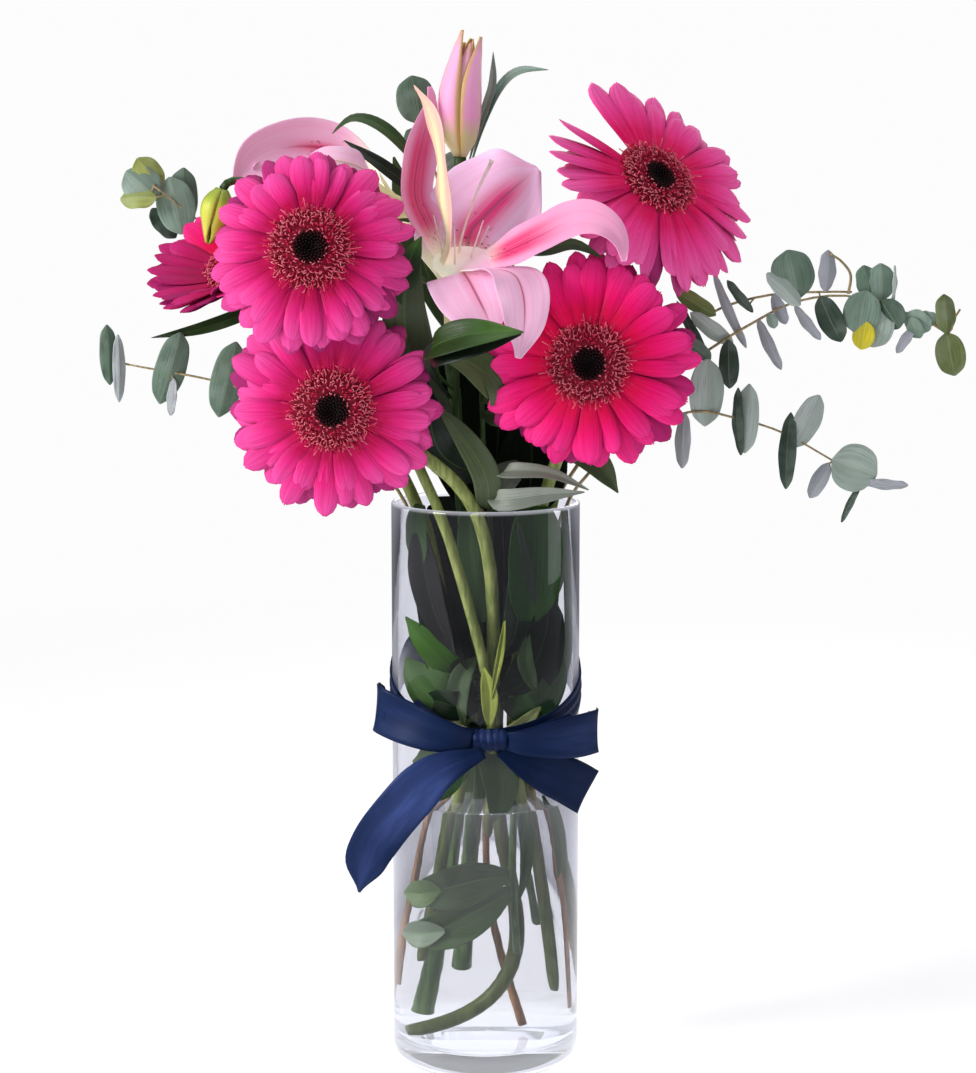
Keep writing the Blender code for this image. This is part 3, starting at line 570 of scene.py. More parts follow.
# painted sheen, laid into the cloth's colour: strongest where the cloth faces the eye, on its folds, half way
# across and a third of the way along; pieces of higher tone get less of it, so they carry painted shade
painted_sheen = times(spread(edge_on(0.35), 0.1, 0.8, 1.0, 0.15), spread(folds["Mask"], 0.0, 1.0, 0.35, 0.85),
              spread(tone, 0.5, 0.85, 1.0, 0.16), spread(off, 0.25, 1.0, 1.0, 0.55),
              spread(along, 0.06, 0.34, 0.25, 1.5), spread(along, 0.42, 0.80, 1.0, 0.40))
coat(SATIN, Base_Color=layered(NAVY, (painted_sheen, NAVY_PAINTED_SHEEN), (times(threads["Mask"], 0.12), NAVY)),
     Normal=relief(threads["Height"], 0.00008, 0.4))

# %% Ribbon round the vase
RIBBON_THICK = 0.5
BAND_FRONT, BAND_RISE = 187.0, 20.0
BAND_HALF_FRONT, BAND_HALF_BACK = 5.4, 12.4
BAND_CLEAR = 0.55              # from the glass to the middle of the cloth
BAND_LENGTH = 13               # in ribbon widths, so that its threads run on as they do along the bow
PLEAT = 0.55
BAND_ROUND = 120

bm = fresh()
for vert, along, across in grid_points(bm, BAND_ROUND, 10):
    turn = (along - 0.5) * math.tau
    back = 0.5 + 0.5 * math.sin(turn)                       # 0 at the knot, 1 behind
    half = BAND_HALF_FRONT + (BAND_HALF_BACK - BAND_HALF_FRONT) * back ** 0.8
    crease = PLEAT * (1 - 0.75 * back) * (1 + math.cos(3 * math.pi * across + 2.5 * turn))
    radius = VASE_RADIUS + BAND_CLEAR + crease * (1 - 0.3 * abs(across))
    height = BAND_FRONT + 2 * BAND_RISE * back + half * across
    mark(bm, vert, (along - 0.5) * BAND_LENGTH, across, 0.3)
    vert.co = Vector((radius * math.cos(turn), radius * math.sin(turn), height)) * MM
band = make_piece("ribbon_round_vase", bm, [SATIN], ["ribbon_band"], RIBBON_THICK)

# %% Knot
KNOT_CENTRE = Vector((2.3, -54.95, 187.5))
KNOT_LENGTH, KNOT_DEEP, KNOT_TALL = 17.5, 4.0, 5.4
KNOT_FOLDS, KNOT_FOLD_DEPTH = 5.0, 0.085
KNOT_PINCH = 0.22              # how much its ends are drawn in

bm = fresh()
for vert, along, across in grid_points(bm, 44, 28):
    end, turn = 2 * along - 1, across * math.pi
    fold = math.cos(KNOT_FOLDS * math.pi * end + 0.6 * math.sin(turn)) * (1 - 0.5 * abs(end))
    size = (1 - KNOT_PINCH * end ** 4) * (1 + KNOT_FOLD_DEPTH * fold)
    mark(bm, vert, across / 2, end * 1.4, 0.72)
    vert.co = (KNOT_CENTRE + Vector((end * KNOT_LENGTH / 2, KNOT_DEEP * size * math.cos(turn),
                                     KNOT_TALL * size * math.sin(turn)))) * MM
knot = make_piece("bow_knot", bm, [SATIN], ["ribbon_knot"], RIBBON_THICK, closed=True)

# %% Loops and tails
# name: path, faces, outline, full width, flat length, CAD node, tone; a higher tone gives a piece less
# painted sheen, so the right-hand pieces carry painted shade
BOW_PIECES = {
    "bow_loop_left": (
        [(-6, -56.5, 187.5), (-14, -60, 189.2), (-28, -58, 192), (-43, -50.5, 196.5), (-54, -43.5, 200.5),
         (-56.5, -37, 201.5), (-51, -33, 200.8), (-41, -40, 196), (-28, -49, 191), (-15, -55, 188.5),
         (-6, -54.5, 187.3)],
        [(0, -1, 0), (-0.1, -1, 0.1), (-0.3, -1, 0.2), (-0.6, -1, 0.1), (-1, 0.1, 0), (0.3, 1, -0.1),
         (0.3, 1, 0), (0.1, 1, 0)],
        (0.42, 0.66, 0.84, 0.95, 1.0, 1.0, 0.95, 0.84, 0.62, 0.40), 24.0, 0.125, "ribbon_loop_left", 0.76),
    "bow_loop_right": (
        [(10.5, -56.5, 187.2), (19, -60, 187.2), (33, -57, 187.8), (47, -48, 188), (57, -38.5, 188.5),
         (58.4, -35.2, 188.6), (54, -35.5, 188.4), (43, -44, 187.6), (30, -52, 187), (18, -55.5, 186.8),
         (10.5, -54.5, 186.8)],
        [(0, -1, 0), (0.1, -1, 0.05), (0.3, -1, 0.05), (1, -0.6, 0), (1, 0.3, 0), (-0.3, 1, 0),
         (-0.3, 1, 0), (-0.1, 1, 0)],
        (0.40, 0.62, 0.82, 0.95, 1.0, 1.0, 0.95, 0.82, 0.60, 0.40), 23.0, 0.125, "ribbon_loop_right", 0.74),
    "bow_tail_left": (
        [(-1, -57.5, 181.5), (-8, -61.5, 179.5), (-17, -65.5, 177), (-28, -66.5, 170.5), (-40, -65, 158),
         (-53, -61.5, 141), (-61.5, -60, 126), (-65.5, -59, 108)],
        [(0, -1, 0.2), (0.15, -1, 0.5), (0.25, -1, 0.35), (0.1, -1, 0.15), (-0.25, -1, 0.1), (-0.35, -1, 0)],
        (0.26, 0.50, 0.80, 0.98, 1.0, 1.0, 0.96, 0.80, 0.05), 25.0, 0.118, "ribbon_tail_left", 0.45),
    "bow_tail_right": (
        [(7, -54.5, 182), (14, -54, 178), (23, -51.5, 172.8), (34, -45, 167), (44, -38.5, 161.5),
         (53.5, -31.5, 154.5)],
        [(0, -1, 0.2), (0, -1, 0.5), (0.3, -1, 0.3), (0.4, -1, 0.1), (0.45, -1, 0)],
        (0.25, 0.48, 0.72, 0.88, 0.96, 1.0, 1.0), 25.0, 0.068, "ribbon_tail_right", 0.88),
}
for name, (path, faces, outline, width, length, node, tone) in BOW_PIECES.items():
    bm = fresh()
    add_blade(bm, smooth_path(path, 40), faces, outline, width, tone, columns=10, camber=0.06, ruffle=0.5,
              waves=1.3, phase=tone * 9)
    ribbon = make_piece(name, bm, [SATIN], [node], RIBBON_THICK)

# %% [markdown]
# ## Gerberas
# A gerbera head is a ring of long strap petals in three layers, a fringe of short curled florets,
# a dark eye of unopened buds, and a green cup of narrow bracts behind. Each petal gets its own length,
# width, tilt and roll, and two furrows along it. Pink petals are darker at the root, pale at the very edge,
# and purple underneath.

# %% Petal finishes
PAINTED_PETAL_SHADE = (0.26, 0.012, 0.11)      # painted shade: the dark purple pink given to petals that lie behind the rest


def petal_finish(name, root, body, tip, furrow):
    skin = new_finish(name, Roughness=0.50, Sheen_Weight=0.02, Sheen_Roughness=0.5,
                      Sheen_Tint=(1.0, 0.45, 0.75), Specular_IOR_Level=0.10)
    along, across, tone, off = readings()
    lines = effect(GROWTH_LINES, Lines=6.0, Waver=1.0)
    fine = effect(GROWTH_LINES, Lines=24.0, Waver=2.2)
    # painted shade at the sides of each petal's root half, where the petals overlap
    painted_root_shade = times(spread(off, 0.45, 0.95), spread(along, 0.30, 0.80, 0.65, 0.0))
    colour = layered(ramp(along, [(0.0, root), (0.36, root), (0.60, body), (0.93, tip), (1.0, tip)]),
                     (times(lines["Mask"], 0.34), furrow),
                     (times(fine["Mask"], 0.18), tip),
                     (times(calc("POWER", off, 9.0), 0.40), tip),
                     (painted_root_shade, furrow),
                     (spread(tone, 0.0, 0.42, 0.85, 0.0), PAINTED_PETAL_SHADE))
    return coat(skin, Base_Color=colour, Normal=relief(lines["Height"], 0.0006, 0.55))


PETAL_PINK = petal_finish("gerbera_pink", (0.52, 0.0, 0.060), (0.82, 0.018, 0.225), (0.90, 0.085, 0.39),
                          (0.50, 0.0, 0.09))
PETAL_DEEP = petal_finish("gerbera_deep_pink", (0.76, 0.0, 0.058), (0.88, 0.003, 0.155), (0.90, 0.032, 0.27),
                          (0.56, 0.0, 0.06))
# head 4's petals: a lighter copy of the pink, painted light for a head that faces away from the key lamp
PETAL_PINK_PAINTED_LIGHT = petal_finish("gerbera_pink_painted_light", (0.84, 0.001, 0.10), (0.97, 0.045, 0.30), (0.97, 0.14, 0.46),
                          (0.66, 0.0, 0.12))
PETAL_UNDER = petal_finish("gerbera_petal_underside", (0.20, 0.008, 0.05), (0.34, 0.010, 0.11),
                           (0.52, 0.035, 0.22), (0.15, 0.0, 0.06))

# %% Eye and fringe finishes
FRINGE = new_finish("gerbera_fringe", Roughness=0.5, Specular_IOR_Level=0.3)
along = reading("along")
pale_tipped = ramp(along, [(0.0, (0.18, 0.0, 0.02)), (0.40, (0.44, 0.004, 0.05)), (0.62, (0.70, 0.08, 0.14)),
                           (0.82, (0.82, 0.26, 0.31))])
all_red = ramp(along, [(0.0, (0.22, 0.0, 0.01)), (0.6, (0.58, 0.003, 0.05)), (1.0, (0.80, 0.05, 0.15))])
coat(FRINGE, Base_Color=mix(spread(reading("tone"), 0.42, 0.58), all_red, pale_tipped),
     Normal=relief(effect(BLOTCHES, Size=900.0)["Height"], 0.0002))

EYE = new_finish("gerbera_eye", Roughness=0.6, Specular_IOR_Level=0.25)
dark = effect(BLOTCHES, Size=700.0)
coat(EYE, Base_Color=layered(mix(reading("tone"), (0.005, 0.0006, 0.001), (0.30, 0.003, 0.03)),
                             (times(dark["Mask"], 0.35), (0.012, 0.001, 0.002))),
     Normal=relief(dark["Height"], 0.0004))

# %% Green finishes for cups and stalks
WATER_TINT_FROM, WATER_TINT_TO = 0.130, 0.155    # heights between which a stem's painted underwater colour fades out


def stalk_finish(name, pale, dark, size, shine=0.5, painted_underwater=(0.25, 0.28, 0.24)):
    """A stem's finish; the last value multiplies its colour under the water, painted shade on most stems and
    painted light on the lily stalks.
    """
    skin = new_finish(name, Roughness=shine, Specular_IOR_Level=0.3)
    stretched = add("Mapping", {"Vector": object_place(), "Scale": (1.0, 1.0, 0.10)}).outputs[0]
    streak = noise(stretched, size)
    colour = layered(mix(spread(streak, 0.35, 0.68), dark, pale),
                     (times(effect(BLOTCHES, Size=45.0)["Mask"], 0.35), dark))
    colour = mix(spread(height_up(), WATER_TINT_FROM, WATER_TINT_TO, 1.0, 0.0), colour,
                 mix(1.0, colour, painted_underwater, "MULTIPLY"))
    return coat(skin, Base_Color=colour, Normal=relief(streak, 0.0004, 0.5))


CUP_GREEN = stalk_finish("gerbera_cup_green", (0.20, 0.31, 0.08), (0.05, 0.11, 0.03), 500.0, 0.6)
STALK_LIME = stalk_finish("gerbera_stalk_green", (0.36, 0.40, 0.13), (0.18, 0.23, 0.06), 420.0)
STALK_GREEN = stalk_finish("lily_stalk_green", (0.075, 0.14, 0.035), (0.025, 0.060, 0.015), 380.0, 0.45,
                           (1.4, 1.3, 1.7))
TWIG_BROWN = stalk_finish("eucalyptus_twig", (0.50, 0.38, 0.20), (0.25, 0.20, 0.10), 500.0, 0.6,
                          (0.60, 0.40, 0.40))

# %% Where each head is
SEAT_SINK = 0.3                # the petals' seat lies this far under the lowest point of the disc


def level_ways(turn):
    """In a head's own frame, the way outwards at a turn in radians, and the way along the ring."""
    out = Vector((math.cos(turn), math.sin(turn), 0))
    return out, Vector((-out.y, out.x, 0))


def placed(head, points):
    """Points in a head's own frame and in millimetres, where they lie in the model."""
    return [head @ (p * MM) for p in points]


def middle(node):
    verts = NODES[node].data.vertices
    return sum((v.co for v in verts), Vector()) / len(verts)


def head_place(number):
    """A gerbera's own frame: +Z the way it looks, +Y its upper side, and its radius in millimetres."""
    disc, calyx, petals = (f"gerbera_{number}_{part}" for part in ("disc", "calyx", "ray_florets"))
    axis = (middle(disc) - middle(calyx)).normalized()
    seat = min(v.co.dot(axis) for v in NODES[disc].data.vertices) - SEAT_SINK * MM
    heart = middle(disc)
    heart += axis * (seat - heart.dot(axis))
    upper = (UP - axis * axis.z).normalized()
    head = Matrix((upper.cross(axis), upper, axis)).transposed().to_4x4()
    head.translation = heart
    reach = max((v.co - heart - axis * (v.co - heart).dot(axis)).length for v in NODES[petals].data.vertices)
    return head, reach / MM


# %% One petal
PETAL_ROWS, PETAL_COLUMNS = 10, 6
PETAL_ROOT = 14.0              # how far from the axis a petal starts
ROOT_WIDE, WIDE_FROM = 0.42, 0.55  # its width at the root as a share of the full one, and where that starts
ROUND_FROM, BLUNT_END = 0.76, 0.16  # where along it the end starts to round off, and the width left there
PETAL_ARCH, PETAL_RIDGE, PETAL_BULGE = 1.2, 0.42, 0.22  # millimetres twice, and a share of half its width
CURL_FROM, NOTCH_FROM = 0.6, 0.9


def petal_width(along):
    wide = ROOT_WIDE + (1 - ROOT_WIDE) * min(along / WIDE_FROM, 1.0) ** 0.9
    if along <= ROUND_FROM:
        return wide
    end = (along - ROUND_FROM) / (1 - ROUND_FROM)
    return wide * max(math.sqrt(max(1 - end ** 2, 0.0)), BLUNT_END)


def add_petal(bm, head, turn, reach, width, low, high, curl, roll, tone, notch):
    """A strap petal in a head's frame that ends at radius reach, in millimetres and degrees."""
    out, side = level_ways(math.radians(turn))
    for vert, run, across in grid_points(bm, PETAL_ROWS, PETAL_COLUMNS):
        along = 1 - (1 - run) ** 1.25                       # rows lie closer together towards the tip
        half = width / 2 * petal_width(along)
        tip_cut = notch * math.cos(across * 1.5 * math.pi) * max(along - NOTCH_FROM, 0) * 10
        span = PETAL_ROOT + (reach - PETAL_ROOT) * (along + tip_cut)
        rise = (low + (high - low) * along ** 1.4 + PETAL_ARCH * math.sin(math.pi * along)
                + curl * max(along - CURL_FROM, 0) ** 2 * 6)
        ridge = PETAL_RIDGE * math.cos(3 * math.pi * across) * math.sin(math.pi * min(along * 1.1, 1.0))
        bulge = PETAL_BULGE * half * across ** 2
        twist = math.radians(roll) * along
        place = (out * span + side * (half * across * math.cos(twist))
                 + UP * (rise - ridge - bulge + half * across * math.sin(twist)))
        mark(bm, vert, along, across, tone)
        vert.co = head @ (place * MM)


# %% Rings of petals
# per layer: how many, reach and width shares, height at root and rim, curl, tone range (low: painted shade)
PETAL_LAYERS = [
    (21, 0.93, 0.96, 1.5, -1.8, -0.4, (0.50, 1.0)),
    (23, 1.00, 1.02, 0.4, -4.5, -1.0, (0.28, 0.8)),
    (22, 0.99, 0.98, -0.8, -7.5, -1.6, (0.0, 0.25)),
]
PETAL_WIDTH = 12.4
# number: petal finish, lift of the rim on the upper and the lower side, spans of angle with no petals,
# spans whose petals are narrow and take the painted shade of petals lying behind, and petals set one by one,
# each with its angle, reach share, width, rim height and roll
HEADS = {
    1: (PETAL_PINK, 0.0, 0.0, [], [], []),
    2: (PETAL_PINK, 0.0, 0.0, [], [], []),
    3: (PETAL_DEEP, 0.0, 0.0, [], [], []),
    4: (PETAL_PINK_PAINTED_LIGHT, 3.0, -4.0, [(84, 190)], [],
        [(106, 1.00, 15.0, 2, 4), (92, 0.96, 15.5, 3, -4), (158, 1.03, 11.0, 4, 22),
         (147, 0.97, 9.5, 6, 28), (168, 1.05, 11.0, 5, 26), (177, 1.0, 11.0, 3, 18),
         (186, 1.04, 11.5, 5, 22), (163, 0.86, 10.0, 1, 12), (173, 0.90, 10.0, 0, -8)]),
    5: (PETAL_DEEP, 14.0, 26.0, [], [(165, 300)], []),
}
DARK_WIDTH, PAINTED_SHADE_TONE = 0.72, 0.22  # what a shaded span makes of a petal's width, and of its tone, which gives it painted shade
STOOD_LOW, STOOD_TONE, STOOD_NOTCH = 1.0, 0.9, 0.012


def make_petals(number, head, reach, rng):
    skin, upper_lift, lower_lift, gaps, painted_shade_spans, stood = HEADS[number]
    bm = fresh()
    for count, share, wide, low, high, curl, tones in PETAL_LAYERS:
        start = rng.uniform(0, 360)
        for k in range(count):
            turn = (start + (k + rng.uniform(-0.30, 0.30)) * 360 / count) % 360
            size = share * rng.uniform(0.88, 1.02)
            lift = lower_lift + (upper_lift - lower_lift) * (0.5 + 0.5 * math.sin(math.radians(turn)))
            width = PETAL_WIDTH * wide * rng.uniform(0.86, 1.14)
            rim = high + lift + rng.uniform(-1.5, 1.5)
            bend = curl + rng.uniform(-2.6, 1.4)
            roll, tone = rng.uniform(-20, 20), rng.uniform(*tones)
            if any(a < turn < b for a, b in gaps):
                continue
            if any(a < turn < b for a, b in painted_shade_spans):
                width, tone = width * DARK_WIDTH, tone * PAINTED_SHADE_TONE
            notch = rng.uniform(-0.012, 0.02)
            add_petal(bm, head, turn, reach * size, width, low, rim, bend, roll, tone, notch)
    for turn, share, width, rim, roll in stood:
        add_petal(bm, head, turn, reach * share, width, STOOD_LOW, rim, 0.0, roll, STOOD_TONE, STOOD_NOTCH)
    make_piece(f"gerbera_{number}_petals", bm, [skin, PETAL_UNDER], [f"gerbera_{number}_ray_florets"],
               0.32, offset=-1.0)


# %% Eye of buds
EYE_RADIUS, EYE_BUDS = 8.2, 84
EYE_EDGE, EDGE_BLUR = 7.8, 2.0  # the dome under the buds is dark up to here, then turns red
BUD_SIZE, BUD_GROWTH, BUD_STRETCH = 0.55, 0.25, 2.0
GOLDEN_TURN = 2.39996
DOME_TALL, DOME_RADIUS = 4.8, 24.0
DIMPLE_DEEP, DIMPLE_RADIUS = 2.4, 4.8


def dome_height(radius):
    return (DOME_TALL * (1 - (radius / DOME_RADIUS) ** 2)
            - DIMPLE_DEEP * math.exp(-(radius / DIMPLE_RADIUS) ** 2))


def make_eye(number, head):
    bm = fresh()
    add_turned(bm, [(r, dome_height(r)) for r in range(0, 23, 2)] + [(22.5, 0.4)], 28)
    for vert in bm.verts:
        mark(bm, vert, 0.5, 0.0, min(max(vert.co.xy.length / MM - EYE_EDGE, 0) / EDGE_BLUR, 1))
    bmesh.ops.transform(bm, matrix=head, verts=bm.verts)
    for k in range(EYE_BUDS):
        share = math.sqrt((k + 0.5) / EYE_BUDS)
        radius = EYE_RADIUS * share
        out = level_ways(k * GOLDEN_TURN)[0]
        place = (out * radius + UP * (dome_height(radius) + 0.5)) * MM
        size = (BUD_SIZE + BUD_GROWTH * share) * MM
        for vert in bmesh.ops.create_icosphere(bm, subdivisions=1, radius=size)["verts"]:
            mark(bm, vert, 0.5, 0.0, 0.02 + 0.16 * share ** 4)
            vert.co = head @ (place + Vector((vert.co.x, vert.co.y, vert.co.z * BUD_STRETCH)))
    make_piece(f"gerbera_{number}_eye", bm, [EYE], [f"gerbera_{number}_disc"], closed=True)


# %% Fringe of curled florets
# ring radius, how many, length, lean outwards in degrees, share with pale tips
FRINGE_RINGS = [(8.8, 28, 2.3, -16, 0.8), (10.3, 34, 2.5, 0, 0.3), (11.7, 42, 2.6, 14, 0.5),
                (13.0, 54, 2.8, 26, 0.9), (14.3, 62, 3.0, 38, 0.95), (15.5, 66, 3.0, 50, 0.9),
                (16.7, 66, 3.1, 60, 0.8), (17.8, 54, 3.3, 72, 0.5)]
FRINGE_RADII, FILAMENT_RADII = (0.32, 0.28, 0.28, 0.36, 0.25), (0.45, 0.30, 0.32)
FILAMENTS = 34
PALE_TIPPED, ALL_RED = 0.8, 0.25


def make_fringe(number, head, rng):
    bm = fresh()
    for radius, count, length, lean, pale in FRINGE_RINGS:
        for k in range(count):
            out, side = level_ways((k + rng.uniform(-0.35, 0.35)) * math.tau / count)
            ring = radius + rng.uniform(-0.8, 0.8)
            tall = length * rng.uniform(0.75, 1.25)
            tilt = math.radians(lean + rng.uniform(-16, 16))
            sway = rng.uniform(-0.8, 0.8)
            foot = out * ring + UP * (dome_height(ring) - 0.4)
            rise = out * math.sin(tilt) + UP * math.cos(tilt)
            knee = foot + rise * tall * 0.7 + side * sway
            hook = knee + rise * tall * 0.25 + out * tall * 0.22 - side * sway * 0.6
            end = hook + out * tall * 0.20 - UP * tall * 0.14 + side * rng.uniform(-1.6, 1.6)
            tone = PALE_TIPPED if rng.random() < pale else ALL_RED
            add_tube(bm, placed(head, (foot, foot.lerp(knee, 0.55), knee, hook, end)), FRINGE_RADII, 4, tone)
    for k in range(FILAMENTS):
        out, side = level_ways((k + rng.uniform(-0.4, 0.4)) * math.tau / FILAMENTS)
        line = [out * 16 + UP * 1.5, out * 19 + UP * 4.0,
                out * rng.uniform(21, 26) + side * rng.uniform(-1.5, 1.5) + UP * rng.uniform(3.5, 5.5)]
        add_tube(bm, placed(head, line), FILAMENT_RADII, 4, PALE_TIPPED if k % 3 == 0 else 0.3)
    make_piece(f"gerbera_{number}_fringe", bm, [FRINGE], [f"gerbera_{number}_disc"],
               closed=True)


# %% Cup of bracts and stalk
CUP_PROFILE = [(0, -2.0), (13.0, -2.0), (13.6, -3.2), (12.3, -7.5), (10.6, -11.5), (7.6, -15.5),
               (4.4, -17.6), (0, -17.8)]
# per row: drop below the head, how many, radius, length
CUP_ROWS = [(1.0, 18, 13.4, 11.2), (4.5, 16, 12.4, 11.0), (9.0, 13, 10.4, 9.0)]
CUP_BRACT = (0.75, 1.0, 0.8, 0.5, 0.05)
BRACT_WIDTH = 3.4
STALK_SWELL = 0.55             # the smoother draws a six-sided tube in by about this much
STALK_MERGE = 0.00001


def make_cup(number, head, rng):
    node = f"gerbera_{number}_calyx"
    bm = fresh()
    add_turned(bm, CUP_PROFILE, 28)
    bmesh.ops.transform(bm, matrix=head, verts=bm.verts)
    make_piece(f"gerbera_{number}_cup", bm, [CUP_GREEN], [node], closed=True)
    bm = fresh()
    for drop, count, radius, length in CUP_ROWS:
        for k in range(count):
            out = level_ways((k + rng.uniform(-0.2, 0.2)) * math.tau / count)[0]
            foot = out * (radius - 2.4) - UP * (drop + 8.5)
            belly = out * (radius + 0.9) - UP * (drop + 3.5)
            tip = out * (radius + 1.2 + rng.uniform(0, 0.8)) + UP * (length * 0.10 - drop)
            spine = placed(head, (foot, foot.lerp(belly, 0.6) + out * 0.6, belly,
                                  belly.lerp(tip, 0.6) + out * 0.3, tip))
            add_blade(bm, spine, [head.to_3x3() @ out], CUP_BRACT, BRACT_WIDTH, rng.uniform(0, 1), 2, -0.3)
    make_piece(f"gerbera_{number}_bracts", bm, [CUP_GREEN], [node], 0.35)


def make_stalk(number):
    """The CAD tube, merged and rounded off: its stalk already has the right path."""
    node = f"gerbera_{number}_stem"
    bm = bmesh.new()
    bm.from_mesh(NODES[node].data)
    bmesh.ops.remove_doubles(bm, verts=bm.verts, dist=STALK_MERGE)
    bmesh.ops.join_triangles(bm, faces=bm.faces, angle_face_threshold=0.6, angle_shape_threshold=0.8)
    bm.normal_update()
    for vert in bm.verts:
        vert.co += vert.normal * (STALK_SWELL * MM)
    make_piece(f"gerbera_{number}_stalk", bm, [STALK_LIME], [node], rounder=2)


# %% The five gerberas
SEED = 70

for number in HEADS:
    head, reach = head_place(number)
    rng = random.Random(SEED + number)
    print(f"gerbera {number}: radius {reach:.1f} mm, looks", [round(c, 2) for c in head.col[2][:3]])
    make_petals(number, head, reach, rng)
    make_eye(number, head)
    make_fringe(number, head, rng)
    make_cup(number, head, rng)
    make_stalk(number)

# %% [markdown]
# ## Lilies
# Six tepals rise as a closed tube and roll back above the throat. They are pale pink with a crimson band
# down the middle, dark spots near the throat, a white and yellow heart, and a ruffled edge.
# Outside, a cream rib runs up each one. The florist has taken the anthers off, so only bare filaments
# and the style stand in the throat.

# %% Tepal finishes
# painted glow in each tepal, strongest in the throat
THROAT_PAINTED_GLOW, LIMB_PAINTED_GLOW = (0.22, 0.23, 0.15), (0.055, 0.028, 0.040)
SPOT_RED = (0.26, 0.0, 0.05)


def tepal_finish(name, pale, blush, band, heart, reach, spots=True):
    """Reach is how far from the midrib the crimson band is full, and how far it has gone."""
    skin = new_finish(name, Roughness=0.45, Sheen_Weight=0.08, Sheen_Roughness=0.4,
                      Sheen_Tint=(1.0, 0.85, 0.95), Specular_IOR_Level=0.30)
    along, across, tone, off = readings()
    lines = effect(GROWTH_LINES, Lines=5.0, Waver=1.3)
    fine = effect(GROWTH_LINES, Lines=26.0, Waver=2.0)
    # the band starts at the throat, and runs nearly to the tip of all tepals but those of low tone
    fade = times(mix(spread(tone, 0.24, 0.30), spread(along, 0.60, 0.80, 1.0, 0.0),
                     spread(along, 0.78, 1.0, 1.0, 0.0)), spread(along, 0.42, 0.54))
    crimson = times(spread(off, *reach, 1.0, 0.0), fade, spread(tone, 0.66, 0.76, 1.0, 0.22),
                    spread(fine["Mask"], 0.0, 1.0, 1.0, 0.80))
    rib = times(spread(off, 0.0, 0.06, 0.80, 0.0), fade)
    colour = layered(pale,
                     (times(lines["Mask"], 0.38), blush),
                     (times(fine["Mask"], 0.14), blush),
                     (spread(off, 0.72, 1.0, 0.0, 0.5), tuple(min(c * 1.08, 0.97) for c in pale)),
                     (crimson, band),
                     (rib, tuple(c * 0.45 for c in band)),
                     (spread(along, 0.40, 0.56, 1.0, 0.0), heart))
    if spots:
        cell = add("TexVoronoi", {"Vector": point(times(across, 6.0), times(along, 38.0), times(tone, 31.0)),
                                  "Scale": 1.0}).outputs["Distance"]
        dots = times(spread(cell, 0.16, 0.26, 1.0, 0.0), spread(along, 0.43, 0.50),
                     spread(along, 0.56, 0.72, 1.0, 0.0), spread(off, 0.25, 0.55, 1.0, 0.0),
                     spread(tone, 0.66, 0.76, 1.0, 0.25))
        colour = mix(dots, colour, SPOT_RED)
    # painted glow standing in for daylight through the thin sheet, most of all through the pale tube
    return coat(skin, Base_Color=colour, Normal=relief(lines["Height"], 0.0006, 0.35), Emission_Strength=1.0,
                Emission_Color=mix(spread(along, 0.38, 0.56), THROAT_PAINTED_GLOW, LIMB_PAINTED_GLOW))


CRIMSON, HEART = (0.72, 0.002, 0.13), (0.99, 0.98, 0.85)
TEPAL_FACE = tepal_finish("lily_pink_face", (0.94, 0.56, 0.78), (0.90, 0.38, 0.63), CRIMSON, HEART,
                          (0.0, 0.30))
# partly the tepal's own lilac, partly painted light: paler than the pink face, for a tepal in the upright
# one's shadow
TEPAL_LILAC_PAINTED_LIGHT = tepal_finish("lily_lilac_face_painted_light", (0.96, 0.64, 0.92), (0.96, 0.42, 0.74), (0.84, 0.008, 0.21),
                           HEART, (0.05, 0.42))
TEPAL_CRIMSON = tepal_finish("lily_crimson_face", (0.86, 0.35, 0.57), (0.80, 0.24, 0.46), CRIMSON, HEART,
                             (0.30, 0.85))
TEPAL_BACK = tepal_finish("lily_pink_outside", (0.90, 0.54, 0.74), (0.86, 0.40, 0.62), (0.92, 0.74, 0.40),
                          (0.56, 0.40, 0.15), (0.05, 0.30), False)
TEPAL_GOLD = tepal_finish("lily_gold_outside", (0.88, 0.50, 0.42), (0.70, 0.42, 0.20), (0.94, 0.82, 0.46),
                          (0.86, 0.76, 0.46), (0.35, 0.80), False)

# %% [markdown]
# A tepal's midrib starts in the tube, near the flower's axis, and goes on through its own few points above
# the throat. In the tube it looks inwards, and above the throat it turns to its own facing.

# %% Tepal helpers
TEPAL_OUTLINE = (0.10, 0.16, 0.34, 0.80, 1.0, 0.97, 0.72, 0.10)
FAN_OUTLINE = (0.10, 0.16, 0.32, 0.72, 0.98, 1.06, 1.05, 0.97, 0.76, 0.05)
OUTER_SHIFT = 1.8              # the three outer tepals stand this far outside the inner ones
THROAT = 0.40                  # every tepal's colours are set out with the mouth of the tube here
THROAT_POINT = 2               # the third point of a tepal's path is that mouth


def round_axis(axis):
    """The way along an axis, and a function for the ways out from it, which takes a turn in degrees."""
    run = Vector(axis).normalized()
    guide = Vector((1, 0, 0)) if abs(run.x) < 0.5 else UP
    first = (guide - run * guide.dot(run)).normalized()
    second = run.cross(first)
    return run, lambda turn: first * math.cos(math.radians(turn)) + second * math.sin(math.radians(turn))


